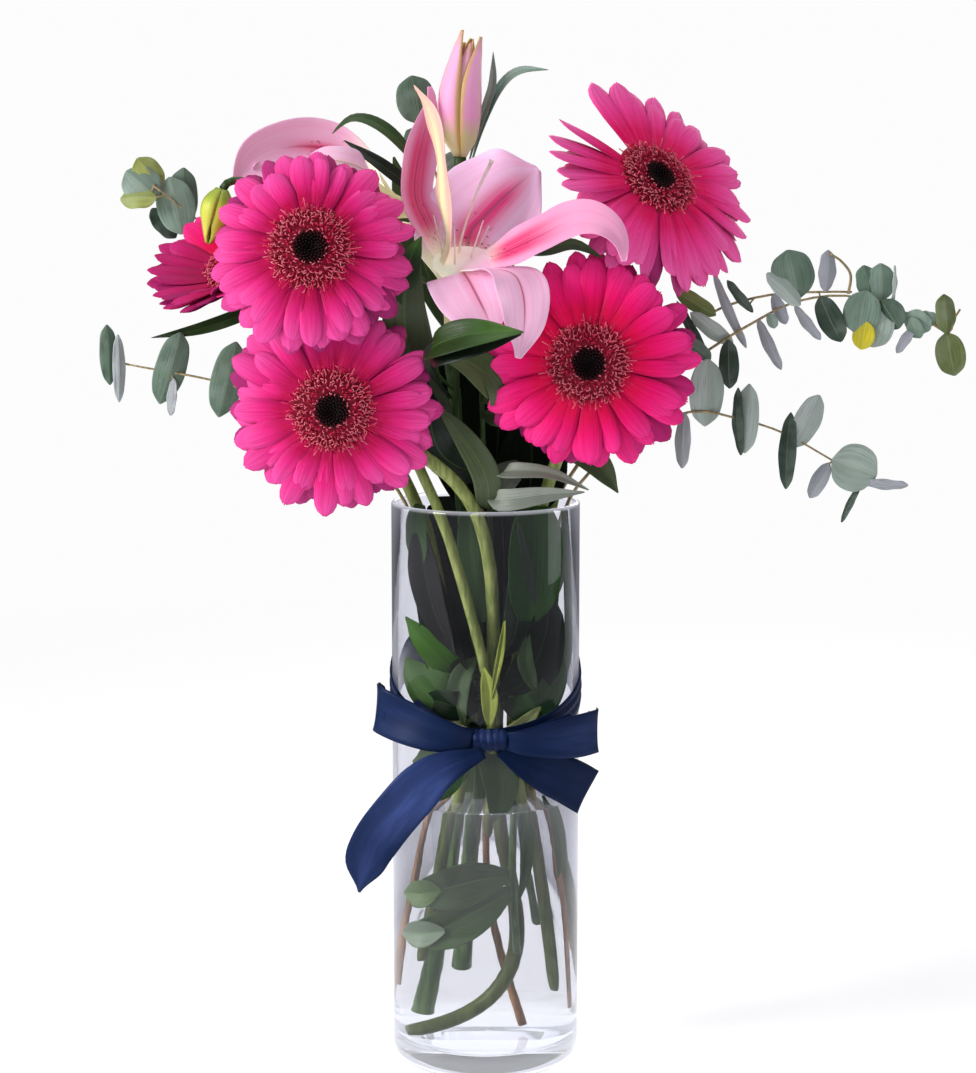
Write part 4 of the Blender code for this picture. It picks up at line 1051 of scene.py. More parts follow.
def make_tepal(name, finishes, path, inward, facings, width, camber, ruffle, tone, outline=TEPAL_OUTLINE):
    line = smooth_path(path, 34)
    throat = Vector(path[THROAT_POINT]) * MM
    mouth = min(range(len(line)), key=lambda k: (line[k] - throat).length) / (len(line) - 1)
    facings = [Vector(f).normalized() for f in facings]
    looks = [inward] * 3 + [inward.lerp(facings[0], 0.75)] + [between(facings, k / 4) for k in range(5)]
    bm = fresh()
    add_blade(bm, line, looks, outline, width, tone, columns=12, camber=camber,
              furrow=0.9, ruffle=ruffle, waves=3.5, phase=tone * 11)
    layer = bm.verts.layers.float["along"]
    for vert in bm.verts:
        along = vert[layer]
        vert[layer] = (THROAT * along / mouth if along < mouth
                       else THROAT + (1 - THROAT) * (along - mouth) / (1 - mouth))
    make_piece(name + "_sheet", bm, finishes, [name], 0.7, rounder=1)


# %% Open lily
# up the axis, and out from it
TUBE_SHAPE = [(0.4, 4.0), (18.0, 5.6), (33.0, 10.0)]
LILY_BASE, LILY_AXIS = Vector((-17, -25, 393)), (0.08, -0.09, 0.99)
# name: finishes, turn about the axis, outer or not, width, facings, midrib above the throat,
# camber, ruffle, tone
LILY_TEPALS = {
    "lily_tepal_right": (
        (TEPAL_CRIMSON, TEPAL_BACK), 10, True, 25, [(0.15, -0.8, 0.6)],
        [(-4, -32, 431), (12, -46, 438), (28, -58, 446), (40, -66, 452), (51, -73, 454), (61, -78, 450),
         (67, -80, 442), (68, -80, 433)], 0.10, 1.2, 0.2),
    "lily_tepal_upper_right": (
        (TEPAL_LILAC_PAINTED_LIGHT, TEPAL_BACK), 70, False, 57, [(-0.1, -0.9, 0.35)],
        [(-8, -21, 446), (-1, -20, 454), (7, -19, 462), (16, -20, 470), (27, -25, 479)], 0.06, 2.6, 0.35),
    "lily_tepal_left": (
        (TEPAL_CRIMSON, TEPAL_BACK), 130, True, 22, [(0.6, -0.75, 0.0)],
        [(-29, -21, 448), (-36, -17, 464), (-35, -14, 481), (-31, -10, 499), (-28, -7, 513),
         (-29, -5, 521)], 0.16, 1.0, 0.5),
    "lily_tepal_upright": (
        (TEPAL_GOLD, TEPAL_GOLD), 190, False, 22, [(1.0, 0.30, 0.0)],
        [(-19, -37, 443), (-22, -41, 463), (-23, -43, 483), (-27, -42, 503), (-32, -38, 514),
         (-36, -34, 520)], 0.10, 1.2, 0.62),
    "lily_tepal_front": (
        (TEPAL_FACE, TEPAL_BACK), 250, True, 42, [(0.0, -0.7, 0.7), (-0.1, -0.9, 0.4), (-0.15, -1, 0.1)],
        [(-13, -40, 428), (-9, -49, 424), (-4, -57, 415), (1, -61, 405), (4, -62, 396)], 0.06, 1.2, 0.78),
    "lily_tepal_hanging": (
        (TEPAL_FACE, TEPAL_BACK), 310, False, 28, [(0.3, -0.3, 0.9), (0.3, -0.8, 0.6), (0.1, -1, 0.15),
         (0, -1, 0)],
        [(-5, -43, 428), (6, -52, 429), (15, -60, 426), (19, -66, 416), (19.5, -69, 404), (18, -71, 392),
         (16, -72, 385)], 0.04, 1.4, 0.9),
}

run, out_at = round_axis(LILY_AXIS)
for name, (finishes, turn, outer, width, facings, midrib, camber, ruffle, tone) in LILY_TEPALS.items():
    out = out_at(turn)
    tube = [LILY_BASE + run * h + out * (r + OUTER_SHIFT * outer) for h, r in TUBE_SHAPE]
    make_tepal(name, finishes, tube + midrib, -out, facings, width, camber, ruffle, tone,
               FAN_OUTLINE if "upper_right" in name else TEPAL_OUTLINE)

# %% Second lily, half open and turned away
BACK_BASE, BACK_AXIS = Vector((-30, 44, 455)), (-0.95, -0.25, 0.18)
BACK_TUBE = 34.0
# midrib: along the axis, and out from it
BACK_MIDRIB = [(0.4, 4.0), (20, 6.0), (34, 11), (50, 24), (70, 28), (90, 25), (103, 15), (108, 7)]
# name: turn about the axis, outer or not, width, length share
BACK_TEPALS = {
    "back_lily_tepal_top": (0, False, 36, 1.0), "back_lily_tepal_top_back": (60, True, 26, 0.85),
    "back_lily_tepal_low_back": (120, False, 33, 0.70), "back_lily_tepal_low": (180, True, 25, 0.60),
    "back_lily_tepal_low_front": (240, False, 33, 0.45), "back_lily_tepal_top_front": (300, True, 26, 0.60),
}
# the top tepal leans forward over the rest, and shows its face
BACK_TOP_MIDRIB = [(-60, 40, 479), (-78, 38, 488), (-99, 36, 491), (-117, 34, 487), (-129, 34, 478),
                   (-134, 34, 470)]
BACK_TOP_FACING = (0.10, -0.93, -0.35)

run, out_at = round_axis(BACK_AXIS)
for name, (turn, outer, width, share) in BACK_TEPALS.items():
    out = out_at(turn)
    midrib = [BACK_BASE + run * (h if h <= BACK_TUBE else BACK_TUBE + (h - BACK_TUBE) * share)
              + out * (r + OUTER_SHIFT * outer * (1 + h / BACK_TUBE)) for h, r in BACK_MIDRIB]
    facing = -out
    if turn == 0:
        midrib, facing = midrib[:2] + BACK_TOP_MIDRIB, BACK_TOP_FACING
    make_tepal(name, (TEPAL_FACE, TEPAL_BACK), midrib, -out, [facing], width, 0.30, 0.8, turn / 360)

# %% Style and filaments
STYLE = new_finish("lily_style", Roughness=0.4, Specular_IOR_Level=0.4)
colour = ramp(reading("along"), [(0.0, (0.62, 0.66, 0.30)), (0.5, (0.92, 0.84, 0.72)),
                                 (0.9, (0.95, 0.78, 0.88)), (1.0, (0.70, 0.50, 0.40))])
coat(STYLE, Base_Color=mix(effect(BLOTCHES, Size=300.0)["Mask"], colour, (0.88, 0.70, 0.66)))

PISTIL_PATH = [(-17, -25, 393.5), (-15.5, -27, 412), (-13, -31, 440), (-5, -35, 465), (3, -36, 482)]
STYLE_RADII, LOBE_RADII = (1.2, 0.9, 0.7, 0.6, 0.65, 1.0), (0.85, 0.9, 0.55)
LOBE_SHAPE = [(0.2, 0), (0.7, 0.3), (1.3, 0.4)]  # out from the style's tip, and on past it
LOBES, LILY_FILAMENTS = 3, 6
FIRST_FILAMENT = 17.19         # its turn about the flower's axis, in degrees
FILAMENT_SHAPE = [(3, 3.0), (22, 4.6), (42, 8.5)]  # up the axis, and out from it
FILAMENT_TALL, FILAMENT_OUT, EVERY_OTHER = 58, 15.0, 4

bm = fresh()
line = smooth_path(PISTIL_PATH, 26)
add_tube(bm, line, STYLE_RADII, 10)
tip, tip_run = line[-1], (line[-1] - line[-2]).normalized()
aside = tip_run.orthogonal().normalized()
for k in range(LOBES):
    way = Matrix.Rotation(k * math.tau / LOBES, 3, tip_run) @ aside
    add_tube(bm, [tip + (way * r + tip_run * h) * MM for r, h in LOBE_SHAPE], LOBE_RADII, 8)
run, out_at = round_axis(LILY_AXIS)
for k in range(LILY_FILAMENTS):
    out = out_at(360 * k / LILY_FILAMENTS + FIRST_FILAMENT)
    shape = [*FILAMENT_SHAPE, (FILAMENT_TALL + EVERY_OTHER * (k % 2), FILAMENT_OUT)]
    filament = [LILY_BASE + run * h + out * r for h, r in shape]
    add_tube(bm, smooth_path(filament, 10), (0.7, 0.6, 0.5, 0.3), 6)
make_piece("lily_style_and_filaments", bm, [STYLE], ["lily_pistil"], closed=True)

# %% [markdown]
# ## Buds
# The upright bud is about to open: its three outer tepals have parted at the tip, and their edges have gone
# gold and brown. Each is a strip of a spindle, so a grid is bent round the bud's axis. The small lime bud
# on the left is made of the same strips, closed.

# %% Bud finishes
def bud_finish(name, low, body, high, rim, rib):
    skin = new_finish(name, Roughness=0.45, Specular_IOR_Level=0.4)
    along, off = reading("along"), calc("ABSOLUTE", reading("across"))
    lines = effect(GROWTH_LINES, Lines=8.0, Waver=1.2)
    colour = layered(ramp(along, [(0.0, low), (0.16, low), (0.34, body), (0.85, high), (1.0, rim)]),
                     (times(lines["Mask"], 0.4), body),
                     (spread(off, 0.0, 0.16, 0.6, 0.0), rib),
                     (spread(off, 0.62, 0.94), rim))
    return coat(skin, Base_Color=colour, Normal=relief(lines["Height"], 0.0005, 0.5))


BUD_PINK = bud_finish("lily_bud_pink", (0.60, 0.62, 0.24), (0.95, 0.38, 0.68), (0.98, 0.46, 0.72),
                      (0.66, 0.43, 0.15), (0.84, 0.56, 0.40))
BUD_LIME = bud_finish("lily_lime", (0.26, 0.38, 0.05), (0.60, 0.64, 0.06), (0.74, 0.70, 0.12),
                      (0.40, 0.46, 0.06), (0.12, 0.16, 0.03))

# %% Buds
def add_scale(bm, base, tip, bow, radii, turn, reach, out_shift, tip_shift, tone):
    """A strip of a spindle from base to tip; radii in millimetres, turn and reach in degrees."""
    start, end = Vector(base), Vector(tip)
    length = (end - start).length
    run, out_at = round_axis(end - start)
    for vert, along, across in grid_points(bm, 18, 8):
        out = out_at(turn + reach * across * (1 - 0.94 * along ** 5))
        rolled_edge, rib = 0.5 * abs(across) ** 4, 0.4 * math.exp(-(across / 0.2) ** 2)
        radius = outline_at(radii, along) + out_shift - rolled_edge + rib
        mark(bm, vert, along, across, tone)
        vert.co = (start + Vector((bow, 0, 0)) * math.sin(math.pi * along)
                   + run * (length * along + tip_shift * along ** 3) + out * radius) * MM


BUD_BASE, BUD_TIP, BUD_BOW = (-13.1, 1, 485.5), (-7, 0, 547.5), -3.0
BUD_RADII = (2.6, 7.6, 9.8, 10.6, 10.4, 9.4, 8.0, 6.8, 5.4)
# turn, reach, shift outwards, shift of the tip; the three outer scales first
BUD_SCALES = [(-150, 62, 0.2, 1.5), (-30, 62, 0.0, -1.0), (90, 60, 0.1, -2.0),
              (-90, 50, -1.6, -5.0), (30, 50, -1.6, -5.0), (150, 50, -1.6, -4.5)]
GREEN_BUD_BASE, GREEN_BUD_TIP = (-137, 0, 468), (-144.6, 0, 440.5)
GREEN_BUD_RADII = (2.2, 5.2, 7.0, 7.4, 6.8, 5.4, 3.8, 2.2, 0.5)

bm = fresh()
for k, scale in enumerate(BUD_SCALES):
    add_scale(bm, BUD_BASE, BUD_TIP, BUD_BOW, BUD_RADII, *scale, 0.13 + 0.15 * k)
make_piece("lily_bud_scales", bm, [BUD_PINK], ["lily_bud"], 0.8, offset=-1.0)
bm = fresh()
for k in range(3):
    add_scale(bm, GREEN_BUD_BASE, GREEN_BUD_TIP, 0.0, GREEN_BUD_RADII, -85 + 120 * k, 66, 0.3 * k, 0.0,
              0.2 + 0.3 * k)
make_piece("lime_bud_scales", bm, [BUD_LIME], ["green_bud"], 0.8, offset=-1.0)

# %% [markdown]
# ## Leaves
# The lily leaves are long, dark and glossy with lines along them. Florists strip the lowest, but here
# many stand packed inside the vase. The eucalyptus leaves are rounder, dull and grey-green with a chalky
# bloom, and hang on thin twigs. A tone stored on each leaf picks its colour; the darkest tones are painted
# shade for leaves in deep shadow, and the finish paints shade on one half of a leaf and at a bright one's
# root.

# %% Leaf finishes
CHALK = (0.42, 0.48, 0.44)


def leaf_finish(name, shades, vein, gloss, bloom, fold, specular=0.4, vein_share=0.75, root=None):
    """Bloom is how chalky a leaf is, the value after it how dark the painted shade on one half of the leaf
    is, and the last one a painted shade at a bright leaf's root.
    """
    skin = new_finish(name, Roughness=gloss, Specular_IOR_Level=specular)
    along, across, tone, off = readings()
    lines = effect(GROWTH_LINES, Lines=11.0, Waver=1.4)
    patch = effect(BLOTCHES, Size=70.0)["Mask"]
    shade = ramp(tone, shades)
    darker = mix(1.0, shade, (0.50, 0.54, 0.50), "MULTIPLY")
    colour = layered(shade,
                     (times(lines["Mask"], 0.6), darker),
                     (times(patch, 0.8), mix(bloom, shade, CHALK)),
                     # painted shade on one half of the leaf, beside the midrib
                     (spread(across, -0.08, 0.12, fold, 0.0), darker))
    # painted shade: bright leaves are darkened towards the root
    if root:
        bright = times(spread(tone, 0.66, 0.70), spread(tone, 0.76, 0.79, 1.0, 0.0))
        colour = mix(times(bright, spread(along, 0.68, 0.95, 0.95, 0.0)), colour,
                     mix(1.0, colour, root, "MULTIPLY"))
    midrib = times(spread(off, 0.0, 0.05, vein_share, 0.0), spread(along, 0.75, 1.0, 1.0, 0.0))
    return coat(skin, Base_Color=mix(midrib, colour, vein), Normal=relief(lines["Height"], 0.0005, 0.5),
                Roughness=spread(patch, 0.0, 1.0, gloss, gloss + 0.12))


# near black, very dark, dark, dull grey-green, bright, light grey-green, pale grey, blue-green; near black is
# painted shade
LEAF_DARK = leaf_finish("lily_leaf_green", [(0.0, (0.004, 0.009, 0.004)), (0.2, (0.012, 0.030, 0.012)),
                                            (0.4, (0.030, 0.085, 0.014)), (0.6, (0.090, 0.120, 0.055)),
                                            (0.8, (0.070, 0.21, 0.012)), (0.84, (0.16, 0.22, 0.15)),
                                            (0.92, (0.30, 0.31, 0.27)), (1.0, (0.30, 0.42, 0.36))],
                        (0.09, 0.19, 0.05), 0.36, 0.03, 0.6, root=(0.22, 0.28, 0.22))
# very dark, dark, green, blue-green, pale, lilac grey, olive, yellow-green, yellow; very dark and dark are
# painted shade
LEAF_GREY = leaf_finish("eucalyptus_leaf", [(0.0, (0.012, 0.030, 0.018)), (0.15, (0.045, 0.085, 0.060)),
                                            (0.3, (0.13, 0.22, 0.15)), (0.45, (0.27, 0.38, 0.31)),
                                            (0.6, (0.52, 0.60, 0.56)), (0.72, (0.43, 0.43, 0.51)),
                                            (0.84, (0.16, 0.20, 0.06)), (0.92, (0.38, 0.44, 0.12)),
                                            (1.0, (0.80, 0.68, 0.02))],
                        (0.42, 0.48, 0.30), 0.55, 0.25, 0.45, vein_share=0.35)
# near black, very dark, dark, grey-green, bright, near black, yellow-green, pale grey; both near blacks are
# painted shade
LEAF_IN_VASE = leaf_finish("leaf_behind_glass", [(0.0, (0.003, 0.006, 0.003)), (0.2, (0.010, 0.024, 0.009)),
                                             (0.4, (0.028, 0.080, 0.018)), (0.6, (0.075, 0.115, 0.060)),
                                             (0.75, (0.038, 0.120, 0.006)), (0.84, (0.022, 0.021, 0.024)),
                                             (0.92, (0.36, 0.42, 0.08)), (1.0, (0.42, 0.42, 0.36))],
                       (0.05, 0.11, 0.03), 0.45, 0.0, 0.5, 0.08, 0.35)

# %% Leaf helpers
LANCE = (0.16, 0.62, 0.92, 1.0, 0.90, 0.58, 0.05)
THIN_ROOT = (0.10, 0.12, 0.16, 0.35, 0.90, 1.0, 0.70, 0.05)
ROUND_LEAF = (0.04, 0.58, 0.80, 0.92, 0.98, 1.0, 0.98, 0.93, 0.82, 0.62, 0.06)
BLUNT_LEAF = (0.55, 0.85, 1.0, 1.0, 0.96, 0.82, 0.35)
LEAF_THICK = 0.55
TOUCHING = 0.0008              # a leaf this near to its twig needs no stalk of its own


def add_leaf(bm, path, faces, width, tone, outline=LANCE, columns=6, camber=0.14, furrow=0.5, ruffle=0.35):
    faces = faces if isinstance(faces, list) else [faces]
    add_blade(bm, smooth_path(path, 16), faces, outline, width, tone, columns, camber, furrow, ruffle,
              waves=2.2, phase=tone * 13)


def make_leaves(name, leaves, nodes, skin):
    """One piece from a table of lily leaves."""
    bm = fresh()
    for path, facing, width, tone, *shape in leaves:
        add_leaf(bm, path, facing, width, tone, *shape)
    make_piece(name, bm, [skin], nodes, LEAF_THICK, rounder=1)


def make_stalks(name, stalks, node):
    """One piece of round stalks; each is given as its path, steps, radii and sides."""
    bm = fresh()
    for path, steps, radii, sides in stalks:
        add_tube(bm, smooth_path(path, steps), radii, sides)
    make_piece(name, bm, [STALK_GREEN], [node], closed=True)


def chart_leaf(bm, twigs, path, row):
    """A leaf given as it is seen from the front; a short stalk joins it to its twig where they are apart."""
    x_root, z_root, x_tip, z_tip, depth, width, turn, tone = row
    root, tip = Vector((x_root, depth, z_root)), Vector((x_tip, depth, z_tip))
    look = Matrix.Rotation(math.radians(turn), 3, tip - root) @ Vector((0, -1, 0))
    arched = root.lerp(tip, 0.5) + look * (tip - root).length * 0.05
    add_leaf(bm, [root, arched, tip], look, width, tone, ROUND_LEAF, 8, camber=-0.10, furrow=-0.5, ruffle=0.5)
    joints = [(root.lerp(tip, k / 5) * MM, p) for k in range(5) for p in path]
    here, there = min(joints, key=lambda pair: (pair[0] - pair[1]).length)
    if (here - there).length > TOUCHING:
        add_tube(twigs, [there, there.lerp(here, 0.5), here.lerp(tip * MM, 0.08)], (0.6, 0.5, 0.45), 6)


# %% Eucalyptus
# twig path, side twigs, then leaves: root X and Z, tip X and Z, depth, width, turn, tone
SPRIGS = {
    "eucalyptus_upper_left": (
        [(-38, 10, 30), (-30, 7, 100), (-18, 3, 150), (-14, 3, 190), (-24, 7, 250), (-35, 12, 300),
         (-62, 30, 345), (-98, 49, 395), (-135, 51, 434), (-163, 43, 458), (-178, 38, 470)], [],
        [(-176, 463, -193, 478, 40, 21, 10, 0.45), (-176, 464, -196, 463, 37, 14, 35, 0.92),
         (-175, 468, -187, 485, 42, 16, 20, 0.92), (-164, 444, -170, 475, 44, 21, 5, 0.42),
         (-165, 446, -163, 480, 49, 17, 20, 0.30), (-168, 442, -181, 458, 50, 13, 35, 0.10),
         (-158, 455, -176, 470, 52, 15, 25, 0.48), (-150, 438, -163, 447, 52, 13, 30, 0.2)]),
    "eucalyptus_left": (
        [(-39, -1, 40), (-33, -5, 100), (-19, -6, 150), (-15, -6, 190), (-28, -5, 250), (-40, -3, 298),
         (-54, -2, 319), (-85, 0, 345), (-134, 0, 366), (-188, 0, 377)], [],
        [(-198, 366, -199, 398, 1, 10, 20, 0.26), (-193, 357, -193, 393, -1, 7, 20, 0.66),
         (-172, 356, -160, 394, 1, 17, 15, 0.34), (-164, 370, -166, 350, -1, 6, 20, 0.68),
         (-141, 349, -131, 389, 1, 18, 10, 0.32)]),
    "eucalyptus_upper_right": (
        [(33, 20, 40), (31, 14, 100), (18, 8, 150), (14, 6, 190), (25, 9, 250), (36, 13, 300),
         (72, 14, 350), (116, 6, 383), (141, 2, 399), (163, 0, 410), (190, -1, 413), (218, 0, 405),
         (238, 0, 398)],
        [[(96, 10, 368), (108, 15, 392), (123, 16, 405), (149, 8, 413), (176, 1, 415), (192, 0, 415)],
         [(190, -1, 414), (191, -1, 424), (186, -1, 431), (180, -1, 435)],
         [(232, 0, 400), (243, 0, 394), (246, 0, 401), (249, 0, 406)]],
        [(164, 411, 158, 437, 1, 24, 10, 0.36), (165, 408, 147, 425, -2, 11, 25, 0.60),
         (151, 414, 158, 398, 2, 8, 30, 0.72), (178, 415, 179, 437, -1, 11, 25, 0.72),
         (175, 413, 187, 389, -1, 14, 20, 0.14), (162, 408, 176, 390, -1, 7, 40, 0.70),
         (199, 416, 195, 393, -3, 20, 5, 0.40), (201, 412, 198, 429, 1, 12, 15, 0.34),
         (208, 410, 207, 430, 2, 15, 10, 0.42), (207, 411, 217, 396, -2, 16, 20, 0.20),
         (208, 408, 203, 386, -1, 18, 10, 0.52), (199, 400, 197, 385, -4, 12, 15, 1.0),
         (213, 408, 214, 429, -1, 4, 50, 0.60), (220, 404, 233, 395, -2, 13, 20, 0.42),
         (226, 402, 237, 400, -1, 10, 30, 0.40), (222, 402, 228, 391, -3, 9, 30, 0.34),
         (225, 397, 216, 383, -1, 6, 30, 0.72), (242, 393, 240, 414, -1, 12, 15, 0.84),
         (242, 394, 247, 371, 0, 16, 10, 0.84), (127, 421, 141, 404, 6, 6, 30, 0.10),
         (120, 425, 138, 385, 8, 6, 30, 0.70), (143, 401, 156, 374, 2, 7, 30, 0.70),
         (149, 404, 152, 396, 0, 6, 10, 0.50), (128, 390, 129, 364, 3, 11, 15, 0.12),
         (100, 416, 122, 402, 12, 10, 20, 0.86), (108, 404, 131, 387, 8, 10, 25, 0.60),
         (101, 410, 117, 382, 10, 6, 30, 0.05), (105, 391, 119, 379, 6, 9, 20, 0.22)]),
    "eucalyptus_lower_right": (
        [(40, -9, 30), (36, -12, 100), (25, -11, 150), (22, -10, 190), (31, -12, 250), (41, -11, 299),
         (53, -9, 319), (76, -4, 340), (108, 0, 352), (131, 0, 349), (157, 0, 341), (184, 0, 326)], [],
        [(116, 344, 117, 380, 2, 19, 8, 0.58), (105, 352, 104, 322, -1, 9, 25, 0.68),
         (133, 365, 135, 329, -1, 8, 45, 0.16), (139, 367, 137, 330, 0, 13, 10, 0.58),
         (161, 352, 159, 311, -1, 10, 25, 0.15), (163, 333, 176, 361, 0, 15, 10, 0.62),
         (183, 327, 207, 318, -1, 26, 0, 0.54), (182, 325, 172, 306, 1, 9, 20, 0.70),
         (199, 315, 224, 313, 0, 7, 30, 0.70), (199, 314, 189, 293, 1, 4, 30, 0.15)]),
    "eucalyptus_top": (
        [(14, 10, 17), (2, 11, 66), (0, 13, 100), (0, 11, 150), (1, 12, 190), (0, 22, 250), (-2, 32, 300),
         (-8, 56, 360), (-16, 66, 430), (-28, 62, 480), (-34, 56, 508)], [],
        [(-35, 503, -40, 529, 53, 22, 10, 0.26), (-31, 488, -43, 500, 58, 14, 20, 0.30),
         (-26, 478, -12, 486, 60, 13, 20, 0.45)]),
}
TWIG_RADII = (1.75, 1.5, 1.1, 0.75, 0.5)

for name, (points, side_twigs, rows) in SPRIGS.items():
    path = smooth_path(points, 60)
    twigs, leaves = fresh(), fresh()
    add_tube(twigs, path, TWIG_RADII, 8)
    for side in side_twigs:
        side = smooth_path(side, 14)
        add_tube(twigs, side, (0.8, 0.6), 6)
        path = path + side
    for row in rows:
        chart_leaf(leaves, twigs, path, row)
    make_piece(name + "_twig", twigs, [TWIG_BROWN], [name], closed=True)
    make_piece(name + "_leaves", leaves, [LEAF_GREY], [name], LEAF_THICK, rounder=1)

# %% Lily stalks and their leaves
LILY_PATH = [(-10, 5, 45), (-7, -2, 100), (-3, -5, 150), (-2, -6, 190), (-6, -11, 250), (-12, -16, 300),
             (-15, -17, 345), (-16, -16, 366)]
LILY_NECK = [(-15.2, -17.6, 348), (-17, -20, 374), (-17, -24, 387), (-17.1, -24.9, 392.4)]
BUD_PATH = [(-16, -16, 366), (-17, -4, 385), (-17, 4, 430), (-14, 3, 465), (-13.5, 1.2, 477), (-13.1, 1, 486)]
# path, facing, width, tone, and its outline where it isn't LANCE
LILY_LEAVES = [
    ([(-15, -17, 345), (-34, -31, 370), (-41, -49, 408), (-34, -50, 441)], (0.1, -1, 0.2), 26, 0.60),
    ([(-40, -48, 408), (-41, -51, 420), (-38, -53, 433), (-32, -53, 445)], (0.2, -1, 0.2), 13, 0.74),
    ([(-16, -18, 364), (-23, -45, 374), (-28, -70, 389), (-12, -84, 397), (5, -88, 399), (19, -88, 399)],
     (-0.1, -0.8, 0.6), 19, 0.74, THIN_ROOT),
    ([(-17, -18, 360), (-24, -44, 371), (-28, -68, 385), (-12, -81, 392), (4, -85, 395), (18, -86, 398)],
     (-0.1, -0.9, 0.3), 16, 0.06, THIN_ROOT),
    ([(-4, -8, 214), (-7, -22, 216), (-23, -26, 224), (-33, -19, 240)], (-0.3, -0.5, 0.8), 18, 0.78),
    ([(-14, 4, 462), (-6, 9, 492), (1, 6, 513), (4, 4, 523), (4, 2, 539)], (-0.6, -0.8, 0.1), 6, 1.0,
     THIN_ROOT),
    ([(-14, 4, 458), (-5, 10, 490), (4, 6, 515), (16, 2, 529), (33, 0, 529.5)], (-0.4, -0.8, 0.5), 6.5, 1.0,
     THIN_ROOT),
    ([(-16, 3, 424), (4, -20, 436), (28, -45, 438), (44, -52, 442), (59, -55, 434)], (0.1, -0.7, -0.6), 10,
     0.3, THIN_ROOT),
]

BACK_PATH = [(-22, 20, 20), (-14, 13, 100), (-8, 9, 150), (-6, 8, 190), (-9, 14, 250), (-13, 23, 300),
             (-18, 36, 360), (-20, 46, 420), (-22, 47, 445), (-25, 45.6, 453.8), (-29.8, 44.1, 455)]
GREEN_BUD_PATH = [(-20, 46, 415), (-44, 28, 425), (-72, 8, 444), (-102, 4, 464), (-124, 4, 472),
                  (-133, 1.5, 472.5), (-137, 0, 468.3)]
BACK_LEAVES = [
    ([(-22, 47, 445), (-30, 24, 468), (-40, 10, 487), (-54, 10, 501), (-70, 14, 506), (-81, 18, 497)],
     (0.1, -0.9, 0.4), 7, 0.44, THIN_ROOT),
    ([(-21, 46, 430), (-34, 24, 462), (-52, 16, 479), (-75, 22, 494)], (0.2, -0.9, 0.3), 8, 0.12,
     THIN_ROOT),
    ([(-19, 42, 390), (-34, 56, 430), (-44, 60, 462), (-50, 58, 486)], (0.3, 0.9, 0.2), 22, 0.4),
    ([(-18, 36, 360), (-2, 54, 392), (8, 60, 430), (12, 56, 462)], (-0.3, 0.9, 0.2), 22, 0.56),
    ([(-70, -8, 452), (-88, 20, 430), (-118, 16, 408), (-148, 6, 396), (-176, 0, 391)], (0.1, -0.9, 0.3), 8,
     0.3, THIN_ROOT),
]

make_stalks("lily_stalks", [(LILY_PATH, 50, (4.1, 3.9, 3.6, 3.3), 12),
                            (LILY_NECK, 12, (2.8, 2.8, 3.4, 4.6, 6.3), 12),
                            (BUD_PATH, 30, (2.3, 2.2, 2.2, 2.4, 3.3), 10)], "lily_stem")
make_stalks("back_lily_stalks", [(BACK_PATH, 60, (3.7, 3.5, 3.2, 3.0, 2.9, 2.9, 6.0), 12),
                                 (GREEN_BUD_PATH, 36, (1.7, 1.6, 1.6, 2.2), 8)], "back_lily_stem")
make_leaves("lily_leaves", LILY_LEAVES, ["lily_stem"], LEAF_DARK)
make_leaves("back_lily_leaves", BACK_LEAVES, ["back_lily_stem"], LEAF_DARK)

# %% Leafy branches in the vase
# name: twig path, then leaves as above
FOLIAGE = {
    "foliage_front": (
        [(14, -12, 58), (13, -20, 98), (13, -9, 150), (7, -8, 190), (4, -9, 250), (2, -10, 300),
         (-1, -14, 335), (-2, -19, 366)],
        [([(13, -20, 97), (-4, -28, 99), (-22, -32, 99), (-39, -23, 97)], (-0.2, -1, 0.1), 22, 0.46),
         ([(13, -20, 90), (-6, -27, 83), (-24, -30, 77), (-41, -20, 75)], (-0.2, -1, 0.1), 22, 0.44),
         ([(-22, -33, 99), (-33, -30, 98), (-42, -21, 97)], (-0.5, -1, 0.2), 14, 0.66),
         ([(-20, -33, 78), (-33, -29, 76), (-43, -18, 74)], (-0.5, -1, 0.2), 14, 0.84),
         ([(5, -9, 222), (14, -27, 234), (18, -37, 262), (17, -37, 298)], (0.35, -1, 0.1), 17, 0.2),
         ([(-2, -18, 360), (6, -40, 368), (-8, -50, 382), (-28, -50, 389)], (0, -0.9, 0.5), 20, 0.64),
         ([(-2, -17, 352), (10, -38, 356), (8, -45, 370), (-8, -45, 388)], (0.1, -0.9, 0.3), 18, 0.58),
         ([(1, -12, 300), (2, -36, 306), (0, -43, 324), (-12, -44, 344), (-26, -42, 360)], (0, -0.9, 0.4),
          15, 0.6),
         ([(3, -10, 322), (-14, -30, 326), (-26, -40, 340), (-30, -44, 372)], (0.1, -1, 0.2), 20, 0.2)]),
    "foliage_right": (
        [(21, 13, 60), (17, 9, 100), (10, 3, 150), (8, 2, 190), (13, 4, 250), (18, 3, 300), (24, 0, 332),
         (28, -2, 350)],
        [([(23, 0, 328), (8, -32, 324), (13, -46, 326), (33, -48, 325), (53, -46, 316)], (0, -0.8, 0.6), 10,
          0.90),
         ([(22, 0, 322), (4, -34, 311), (11, -47, 311), (31, -49, 314), (51, -46, 315)], (0.1, -1, 0.1), 12,
          0.93),
         ([(25, -1, 338), (44, -16, 336), (58, -24, 327), (69, -26, 312)], (0.2, -0.9, 0.4), 18, 0.56),
         ([(28, -2, 349), (24, -22, 372), (30, -30, 392)], (0, -0.9, 0.3), 26, 0.12)]),
}
for name, (points, leaves) in FOLIAGE.items():
    make_stalks(name + "_twig", [(points, 44, (1.9, 1.7, 1.5, 1.3), 8)], name)
    make_leaves(name + "_leaves", leaves, [name], LEAF_DARK)

